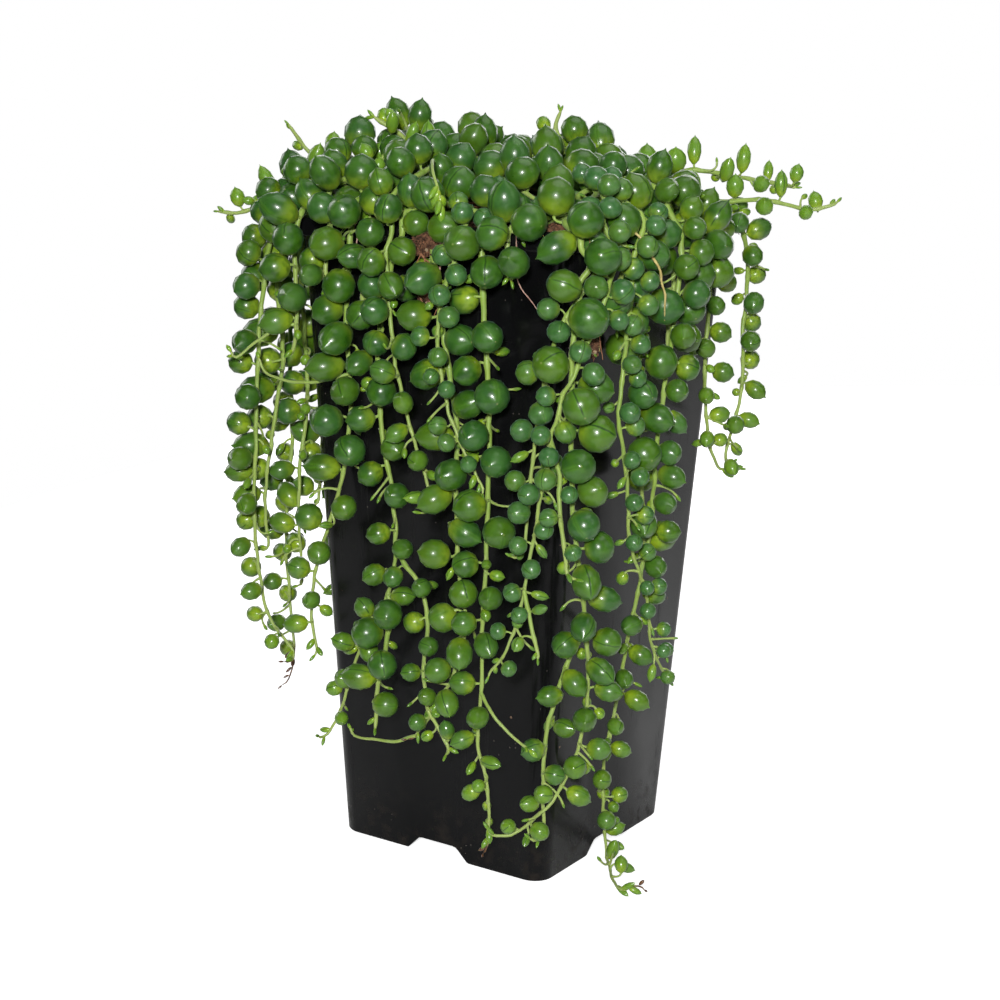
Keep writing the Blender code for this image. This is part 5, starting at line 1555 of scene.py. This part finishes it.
FRAMEWORK_VALUES = {
    "thickness": "FLOAT",
    "along": "FLOAT",
    "bears_leaf": "BOOLEAN",
    "shape": "INT",
    "turn": "FLOAT_VECTOR",
    "size": "FLOAT_VECTOR",
    "tint": "FLOAT",
    "youth": "FLOAT",
    "withered": "FLOAT",
}

# Each bare shoot: the vine and the stem point it leaves, its buds and their size, and its path.
Shoot = namedtuple("Shoot", "vine node buds bud points")

SHOOTS = [
    Shoot("vine_front_10", 20, 2, 1.0, ((-50, -64.5, 178), (-55, -67.5, 174), (-59.5, -70, 170),
                                        (-62.5, -72, 167.5), (-63.5, -72.5, 169.5))),
    Shoot("vine_front_02", 28, 1, 1.0, ((-32, -64.5, 162), (-40, -66.5, 161), (-48, -67, 161.5),
                                        (-54, -67, 163.5), (-56, -67.5, 167.5))),
    Shoot("vine_front_07", 65, 2, 0.9, ((-5, -60.4, 45), (-13.5, -60.5, 44.2),
                                        (-21.5, -60.3, 43.6), (-23.2, -60, 45.6))),
    Shoot("vine_front_06", 57, 2, 1.2, ((33, -61, 63.5), (36.5, -61, 60), (40, -60.6, 57),
                                        (44, -60.3, 54.8), (47.5, -60.3, 53.2))),
    Shoot("crown_vine_01", 17, 5, 2.1, ((-2, -47, 232), (4, -56, 232), (9, -62.5, 229.5),
                                        (11.8, -64, 224), (12.8, -63.5, 219.5))),
    Shoot("vine_left_05", 30, 2, 1.0, ((-66, -31, 146), (-69, -35, 142), (-71, -38, 143))),
]

# How far back each dried tip has withered, in millimetres.
WITHERED = {
    "vine_left_04": 15.0,
    "vine_front_06": 4.0,
    "vine_front_07": 3.0,
    "vine_right_03": 4.5,
    "vine_left_01": 2.5,
}


def unit(vector):
    return vector / max(np.linalg.norm(vector), 1e-9)


def square_to(vector, axis):
    return unit(vector - vector @ axis * axis)


def limited(direction, axis, degrees):
    """The direction, turned back to within an angle of an axis."""
    direction, limit = unit(direction), math.radians(degrees)
    if direction @ axis >= math.cos(limit):
        return direction
    return math.cos(limit) * axis + math.sin(limit) * square_to(direction, axis)


class Framework:
    """The lines of a vine's stems and stalks, and the points that bear its leaves."""

    def __init__(self):
        self.points, self.edges = [], []
        self.values = {key: [] for key in FRAMEWORK_VALUES}

    def add_point(self, point, **values):
        self.points.append([MM * float(c) for c in point])
        plain = {"turn": (0, 0, 0), "size": (1, 1, 1)}
        for key in FRAMEWORK_VALUES:
            self.values[key].append(values.get(key, plain.get(key, 0)))

    def add_chain(self, points, thickness, along, withered=None):
        first = len(self.points)
        dry = np.zeros(len(points)) if withered is None else withered
        for point, thick, share, dried in zip(points, thickness, along, dry):
            self.add_point(point, thickness=MM * thick, along=share, withered=dried)
        self.edges += [(k, k + 1) for k in range(first, len(self.points) - 1)]

    def add_leaf(self, centre, axis, slit, size, **values):
        side = square_to(slit, axis)
        turned = Matrix(np.column_stack([side, np.cross(axis, side), axis]).tolist()).to_euler()
        scale = [MM * float(s) for s in size]
        self.add_point(centre, bears_leaf=True, turn=tuple(turned), size=scale, **values)

    def mesh(self, name):
        mesh = bpy.data.meshes.new(name)
        mesh.from_pydata(self.points, self.edges, [])
        set_values(mesh, self.values, FRAMEWORK_VALUES)
        return mesh


def stalk_line(foot, base, axis, length):
    """A stalk that leaves its stem and bends into line with its leaf."""
    bend = base - axis * length
    return [
        (1 - t) ** 2 * foot + 2 * t * (1 - t) * bend + t**2 * (base + 0.12 * (base - bend))
        for t in np.linspace(0, 1, 6)
    ]


def leaf_axis(centre, away, rng):
    """Where a leaf's tip points: upwards on the crown, away from the stem below."""
    drift = rng.normal(0, 1, 3)
    if centre[2] > POT_HEIGHT + 3:
        lean = 0.75 * away + np.array([0, 0, 0.8]) + 0.26 * drift
    else:
        lean = away + 0.3 * drift + np.array([0, 0, -0.12])
    return limited(lean, away, 42)


def leaf_kind(stem, share, radius, rng):
    """The shape and the youth of a leaf."""
    luck = rng.uniform()
    if stem.look == "young":
        return (4 if luck < 0.5 else 3), 0.35 + 0.4 * share
    if stem.look == "blue":
        return (0 if luck < 0.6 else 1), 0.1 * share
    young = max(0.0, (share - 0.62) / 0.38) if stem.length > 70 else 0.1 * share
    if radius < 3.2 and young > 0.25:
        return (4 if luck < 0.3 else 3 if luck < 0.8 else 2), 0.3 + 0.5 * young
    if radius < 4.2:
        return (2 if luck < 0.4 else 3), 0.12 + 0.4 * young
    kinds = (0, 0, 1, 2, 2, 3) if share < 0.6 else (0, 1, 2, 3, 3, 3)
    return kinds[int(luck * 6) % 6], 0.45 * young


def hooked(path, stem, rng):
    """The path with its last stretch bent into a loose hook."""
    if stem.bare < 2.5:
        return path
    step = stem.length / (len(path) - 1)
    kept = path[: len(path) - int(min(0.3 * stem.bare + 1.5, 4.0) / step)]
    ahead = unit(kept[-1] - kept[-2])
    side = square_to(
        0.9 * away_from_pot(kept[-1]) + np.array([0, 0, 0.5]) + rng.normal(0, 1, 3), ahead
    )
    radius = rng.uniform(2.2, 3.8)
    sweep = math.radians(rng.uniform(30, 75) if stem.look == "young" else rng.uniform(50, 150))
    turns = np.linspace(0, sweep, max(2, round(radius * sweep / step)) + 1)[1:, None]
    hook = kept[-1] + radius * (np.sin(turns) * ahead + (1 - np.cos(turns)) * side)
    path = np.vstack([kept, hook])
    path[:, 2] = np.maximum(path[:, 2], 0.9)
    return path


def wandering(path):
    """The path with the small bends of a grown stem."""
    ends = np.minimum(np.arange(len(path)), np.arange(len(path))[::-1])
    fade = np.clip(ends / 3, 0, 1)[:, None]
    return path + fade * [0.42 * noise.noise_vector(Vector(point) / 5.5) for point in path]


def stem_thickness(stem, nodes, path, taper):
    """A stem's radius along its path: thinner towards the tip, swollen where leaves sit."""
    long_share = min(stem.length / 150, 1.0)
    tip = TOP_THICKNESS + (TIP_THICKNESS - TOP_THICKNESS) * (0.45 + 0.55 * long_share)
    thickness = TOP_THICKNESS + (tip - TOP_THICKNESS) * taper**1.15
    thickness *= 0.62 + 0.036 * min(stem.leaf[0], 10.5)
    for leaf in stem.leaves:
        near = np.linalg.norm(path - nodes[leaf.node], axis=1)
        thickness *= 1 + 0.30 * np.exp(-((near / 1.1) ** 2))
    thickness[-1] *= 0.6
    return thickness


def add_leaf_on_stalk(framework, layout, stem, leaf, rng):
    """One leaf where the layout has it, and the stalk that joins it to its stem."""
    foot, centre = layout.place[stem.first + leaf.node], layout.place[leaf.row]
    radius = float(layout.radius[leaf.row])
    share = leaf.node / (len(stem.nodes) - 1)
    away = unit(centre - foot)
    axis = leaf_axis(centre, away, rng)
    shape, youth = leaf_kind(stem, share, radius, rng)
    outwards = away_from_pot(centre)
    slit = 0.8 * outwards + np.array([0, 0, 0.5]) + 0.55 * rng.normal(0, 1, 3)
    wide = radius * (1 + 0.05 * rng.uniform(-1, 1))
    deep = radius * (1 + 0.05 * rng.uniform(-1, 1))
    size = (min(wide, radius * 1.02), min(deep, radius * 1.02), radius)
    tint = rng.uniform()
    framework.add_leaf(
        centre, axis, slit, size, shape=shape, tint=tint, youth=min(youth, 1.0), along=share
    )
    base = centre - axis * radius * LEAF_SHAPES[shape].length * 0.99
    slim = min(1.0, 0.55 + 0.09 * radius) * (0.85 if stem.look == "blue" else 1.0)
    stalk = stalk_line(foot, base, axis, 0.5 * max(np.linalg.norm(base - foot), 0.8))
    swell = np.array([0.62, 0.5, 0.42, 0.42, 0.5, 0.66]) * slim
    framework.add_chain(stalk, swell, np.full(len(stalk), 0.35 + 0.4 * share))


def add_stem(framework, layout, stem, rng):
    """One stem with its leaves, its stalks and the buds at its tip."""
    nodes = layout.place[stem.first : stem.first + len(stem.nodes)]
    line = nodes.copy()
    if not stem.branch:
        line[0] = line[0] - (0, 0, 2.2)
    path, _ = smooth_path(line, FINE_STEP)
    path = hooked(wandering(path), stem, rng)
    along = np.linspace(0, 1, len(path))
    start = 0.35 if stem.branch else 0.0
    taper = start + (1 - start) * along
    thickness = stem_thickness(stem, nodes, path, taper)
    to_tip = stem.length * (1 - along)
    dry_for = 0.0 if stem.branch else WITHERED.get(stem.name, 0.0)
    withered = np.clip((dry_for - to_tip) / 2 + 0.5, 0, 1) if dry_for else 0 * along
    thickness *= 1 - 0.4 * withered
    framework.add_chain(path, thickness, taper, withered)
    for leaf in stem.leaves:
        add_leaf_on_stalk(framework, layout, stem, leaf, rng)
    add_buds(framework, stem, path, thickness, withered, rng)


def add_buds(framework, stem, path, thickness, withered, rng):
    """The small unopened leaves over the last stretch of a stem."""
    steps = len(path) - 1
    spacing = stem.length / steps
    small = min(1.45, 0.30 * stem.leaf[1])
    count = int(np.clip(round(stem.bare / 3.2), 1, 5))
    for k in range(count + 1):
        back = 0.55 + k * (stem.bare - 1.2) / max(count, 1)
        at = int(np.clip(round(steps - back / spacing), 1, steps))
        ahead = unit(path[at] - path[at - 1])
        side = square_to(away_from_pot(path[at]) + 0.9 * rng.normal(0, 1, 3), ahead)
        radius = small * (0.7 + 0.16 * k) * rng.uniform(0.85, 1.1)
        radius = min(radius, 1.9)
        lean = 0.25 if k == 0 else rng.uniform(0.7, 1.4)
        axis = unit(ahead + lean * side)
        base = path[at] + side * (0.0 if k == 0 else thickness[at] * 0.7)
        centre = base + axis * radius * 1.25
        shape = 5 if k == 0 or rng.uniform() < 0.5 else 4
        dry = float(withered[at])
        size = np.array([1, 1, 1.1]) * radius * (1 - 0.35 * dry)
        framework.add_leaf(
            centre, axis, side, size, shape=shape, tint=rng.uniform(), youth=0.75, along=1.0,
            withered=dry
        )


def add_shoot(framework, layout, stem, shoot, rng):
    """A bare side shoot with buds at its end."""
    foot = layout.place[stem.first + shoot.node]
    path, _ = smooth_path([foot, *shoot.points], FINE_STEP)
    path = wandering(path)
    share = np.linspace(0, 1, len(path))
    framework.add_chain(path, 0.62 - 0.2 * share, 0.5 + 0.5 * share)
    for k in range(shoot.buds):
        at = len(path) - 1 - k
        ahead = unit(path[at] - path[at - 1])
        side = square_to(rng.normal(0, 1, 3), ahead)
        axis = unit(ahead + (0.3 if k == 0 else 1.1) * side)
        radius = shoot.bud * rng.uniform(0.75, 1.1)
        framework.add_leaf(
            path[at] + axis * radius * 1.25, axis, side, (radius, radius, radius),
            shape=(4, 5, 3)[k % 3], tint=rng.uniform(), youth=1.0, along=1.0
        )


class Room:
    """Tells whether a small ball would stand clear of the leaves, the pot and the mix."""

    def __init__(self, layout):
        rows = [leaf.row for stem in layout.stems for leaf in stem.leaves]
        self.centres, self.radii = layout.place[rows], layout.radius[rows]

    def clear(self, point, radius):
        gap = np.linalg.norm(self.centres - point, axis=1) - self.radii - radius
        if gap.min() < 0.3:
            return False
        x, y, z = point
        if z > POT_HEIGHT + 1.5:
            return z > float(mix_height(x, y)) + radius + 1
        half = HALF if z > POT_HEIGHT - RIM_BAND - 2 else wall_half(z)
        return float(square_distance(x, y, half)[0]) > radius + 0.5 and z > radius + 0.5


def add_sprigs(framework, layout, stem, room, rng):
    """The late small leaves and bare twigs between a stem's leaves."""
    nodes = layout.place[stem.first : stem.first + len(stem.nodes)]
    last = len(nodes) - 2 - round(0.9 * stem.bare / NODE_STEP)
    for node in range(2, last):
        share = node / last
        if rng.uniform() > 0.12 + 0.26 * share:
            continue
        along = unit(nodes[node + 1] - nodes[node - 1])
        twig = rng.uniform() < 0.38
        radius = rng.uniform(0.75, 1.1) if twig else rng.uniform(1.3, 2.3)
        reach = rng.uniform(4.5, 9.0) if twig else radius * 1.3 + rng.uniform(1.6, 3.4)
        for _ in range(12):
            side = square_to(rng.normal(0, 1, 3) + 0.8 * away_from_pot(nodes[node]), along)
            heading = unit(side + along * rng.uniform(0.1, 0.9))
            tip = nodes[node] + heading * reach + np.array([0, 0, -0.12 * reach])
            middle = nodes[node] + heading * reach * 0.55
            if room.clear(tip, radius * 1.2) and room.clear(middle, 0.5):
                break
        else:
            continue
        axis = unit(unit(tip - nodes[node]) + 0.35 * rng.normal(0, 1, 3))
        base = tip - axis * radius * 1.25
        stalk = stalk_line(nodes[node], base, axis, 0.45 * reach)
        swell = np.array([0.55, 0.44, 0.38, 0.36, 0.36, 0.42])
        framework.add_chain(stalk, swell, np.full(len(stalk), 0.5 + 0.5 * share))
        shape = 5 if twig else int(rng.choice([2, 3, 4, 4]))
        size = (radius, radius, radius)
        framework.add_leaf(
            tip, axis, away_from_pot(tip), size, shape=shape, tint=rng.uniform(),
            youth=rng.uniform(0.5, 0.95), along=1.0
        )


LEAF_SLOTS = {"pearl": "leaf_green", "blue": "leaf_blue_green", "young": "leaf_young"}


def make_vines():
    layout = Layout()
    layout.settle()
    layout.trim_leaves()
    rng = np.random.default_rng(SEED + 4)
    room = Room(layout)
    tree, shapes = vine_tree(), leaf_collection()
    skins = {
        "pearl": leaf_finish("pearl_green_skin", (0.012, 0.058, 0.004), (0.047, 0.136, 0.006),
                             0.30, 0.06),
        "blue": leaf_finish("pearl_blue_green_skin", (0.021, 0.084, 0.021), (0.044, 0.140, 0.030),
                            0.62, 0.13),
        "young": leaf_finish("young_leaf_skin", (0.055, 0.160, 0.014), (0.130, 0.280, 0.020),
                             0.3, 0.05),
    }
    stems = stem_finish()
    for stem in layout.stems:
        if stem.branch:
            continue
        framework = Framework()
        for part in layout.stems:
            if part.name == stem.name:
                add_stem(framework, layout, part, rng)
                add_sprigs(framework, layout, part, room, rng)
        for shoot in SHOOTS:
            if shoot.vine == stem.name:
                add_shoot(framework, layout, stem, shoot, rng)
        piece = grown(
            "trail_" + stem.name,
            framework.mesh(stem.name),
            tree,
            Stem_Sides=8,
            Leaf_Shapes=shapes,
            Stem_Finish=stems,
            Leaf_Finish=skins[stem.look],
        )
        finished(piece, LEAF_SLOTS[stem.look], stem.name)
    for item in list(shapes.objects):
        bpy.data.objects.remove(item)
    bpy.data.collections.remove(shapes)


# ---------------------------------------------------------------- stage, light and camera


FLOOR_MIDDLE, FLOOR_RADIUS, FLOOR_SIDES = (0.32, 0.52), 0.9, 72  # metres
FLOOR_DROP = 0.0002  # the floor lies this far under the object
WHITE_FROM, WHITE_AT = 200.0, 620.0  # the floor turns white between these, in millimetres


def make_stage():
    """A plain pale floor."""
    rim = [math.tau * k / FLOOR_SIDES for k in range(FLOOR_SIDES)]
    x, y = FLOOR_MIDDLE
    points = [(x + FLOOR_RADIUS * math.cos(t), y + FLOOR_RADIUS * math.sin(t), 0.0) for t in rim]
    mesh = bpy.data.meshes.new("floor")
    mesh.from_pydata(points, [], [tuple(range(FLOOR_SIDES))])
    material, made, skin = new_finish("pale_floor", Roughness=0.9)
    tone = made.group(
        TWO_TONE,
        Place=made.place(),
        Scale=0.004,
        Spread=0.3,
        First=colour(0.74, 0.74, 0.74),
        Second=colour(0.78, 0.78, 0.78),
    )["Color"]
    made.wire(tone, skin["Base Color"])
    # the floor is shown brighter than it shines on the pot, so that it stays plain and pale
    seen = made.add("ShaderNodeLightPath").outputs["Is Camera Ray"]
    far = made.rise(made.vector("LENGTH", made.place(), out=1), WHITE_FROM, WHITE_AT, 0.78, 1.0)
    made.wire(made.math("MULTIPLY", seen, far), skin["Emission Color"])
    skin["Emission Strength"].default_value = 1.0
    floor = plain_object("studio_floor", mesh, material)
    floor.location = (0, 0, -FLOOR_DROP)


def aim(item, place, target):
    item.location = place
    item.rotation_euler = (Vector(target) - Vector(place)).to_track_quat("-Z", "Y").to_euler()


def add_light(name, place, target, size, power):
    lamp = bpy.data.lights.new(name, "AREA")
    lamp.shape = "DISK"
    lamp.size = size
    lamp.energy = power
    light = bpy.data.objects.new(name, lamp)
    bpy.context.collection.objects.link(light)
    aim(light, place, target)


VIEW_SIDE, VIEW_RISE, VIEW_ROLL = 33.03, 11.76, 1.319  # degrees
VIEW_DISTANCE, VIEW_LENS = 630.9, 65.70  # millimetres
VIEW_TARGET = (-3.41, -2.22, 116.7)  # millimetres


def make_camera():
    side, rise = math.radians(VIEW_SIDE), math.radians(VIEW_RISE)
    back = Vector(
        (math.sin(side) * math.cos(rise), -math.cos(side) * math.cos(rise), math.sin(rise))
    )
    right = Vector((math.cos(side), math.sin(side), 0))
    up = back.cross(right)
    roll = math.radians(VIEW_ROLL)
    right, up = (
        math.cos(roll) * right + math.sin(roll) * up,
        math.cos(roll) * up - math.sin(roll) * right,
    )
    camera = bpy.data.objects.new("camera", bpy.data.cameras.new("camera"))
    bpy.context.collection.objects.link(camera)
    camera.data.lens = VIEW_LENS
    camera.data.clip_start = 0.01
    turned = Matrix((right, up, back)).transposed().to_4x4()
    place = MM * (Vector(VIEW_TARGET) + back * VIEW_DISTANCE)
    camera.matrix_world = Matrix.Translation(place) @ turned
    bpy.context.scene.camera = camera
    return back, right, up


def make_light(back, right, up):
    """A small lamp by the camera, and four soft boxes: above, behind, left and right."""
    middle = Vector((0, 0, 0.125))
    add_light("lamp_front", middle + 0.9 * back + 0.07 * up - 0.05 * right, middle, 0.09, 8.0)
    add_light("softbox_top", (0.2, 0.05, 1.15), middle, 1.0, 3.4)
    add_light("softbox_back", (-0.6, 1.3, 0.45), middle, 1.5, 11.0)
    add_light("softbox_left", (-1.3, 0.1, 0.6), middle, 0.8, 4.2)
    add_light("softbox_right", (1.1, 0.2, 0.7), (0.3, 0.4, 0), 0.8, 1.1)
    world = bpy.context.scene.world or bpy.data.worlds.new("studio")
    bpy.context.scene.world = world
    world.use_nodes = True
    made = Nodes(world.node_tree)
    sky = world.node_tree.nodes["Background"].inputs
    sky["Color"].default_value = colour(1, 1, 1)
    seen = made.add("ShaderNodeLightPath").outputs["Is Camera Ray"]
    made.wire(made.rise(seen, 0.0, 1.0, 0.025, 1.0), sky["Strength"])


# ---------------------------------------------------------------- everything together

view = make_camera()
make_light(*view)
make_stage()
make_pot(pot_finish())
peat = mix_finish()
make_mix(peat)
make_spill(peat)
make_strands(
    {
        "coir": strand_finish("coir_fibre", (0.16, 0.06, 0.03), (0.34, 0.16, 0.08), 0.75),
        "straw": strand_finish("dry_straw", (0.40, 0.31, 0.10), (0.60, 0.50, 0.20), 0.5),
        "root": strand_finish("dead_root", (0.36, 0.20, 0.15), (0.56, 0.38, 0.30), 0.6),
    }
)
make_vines()

bpy.context.scene.view_settings.view_transform = "Standard"
bpy.context.scene.view_settings.look = "None"
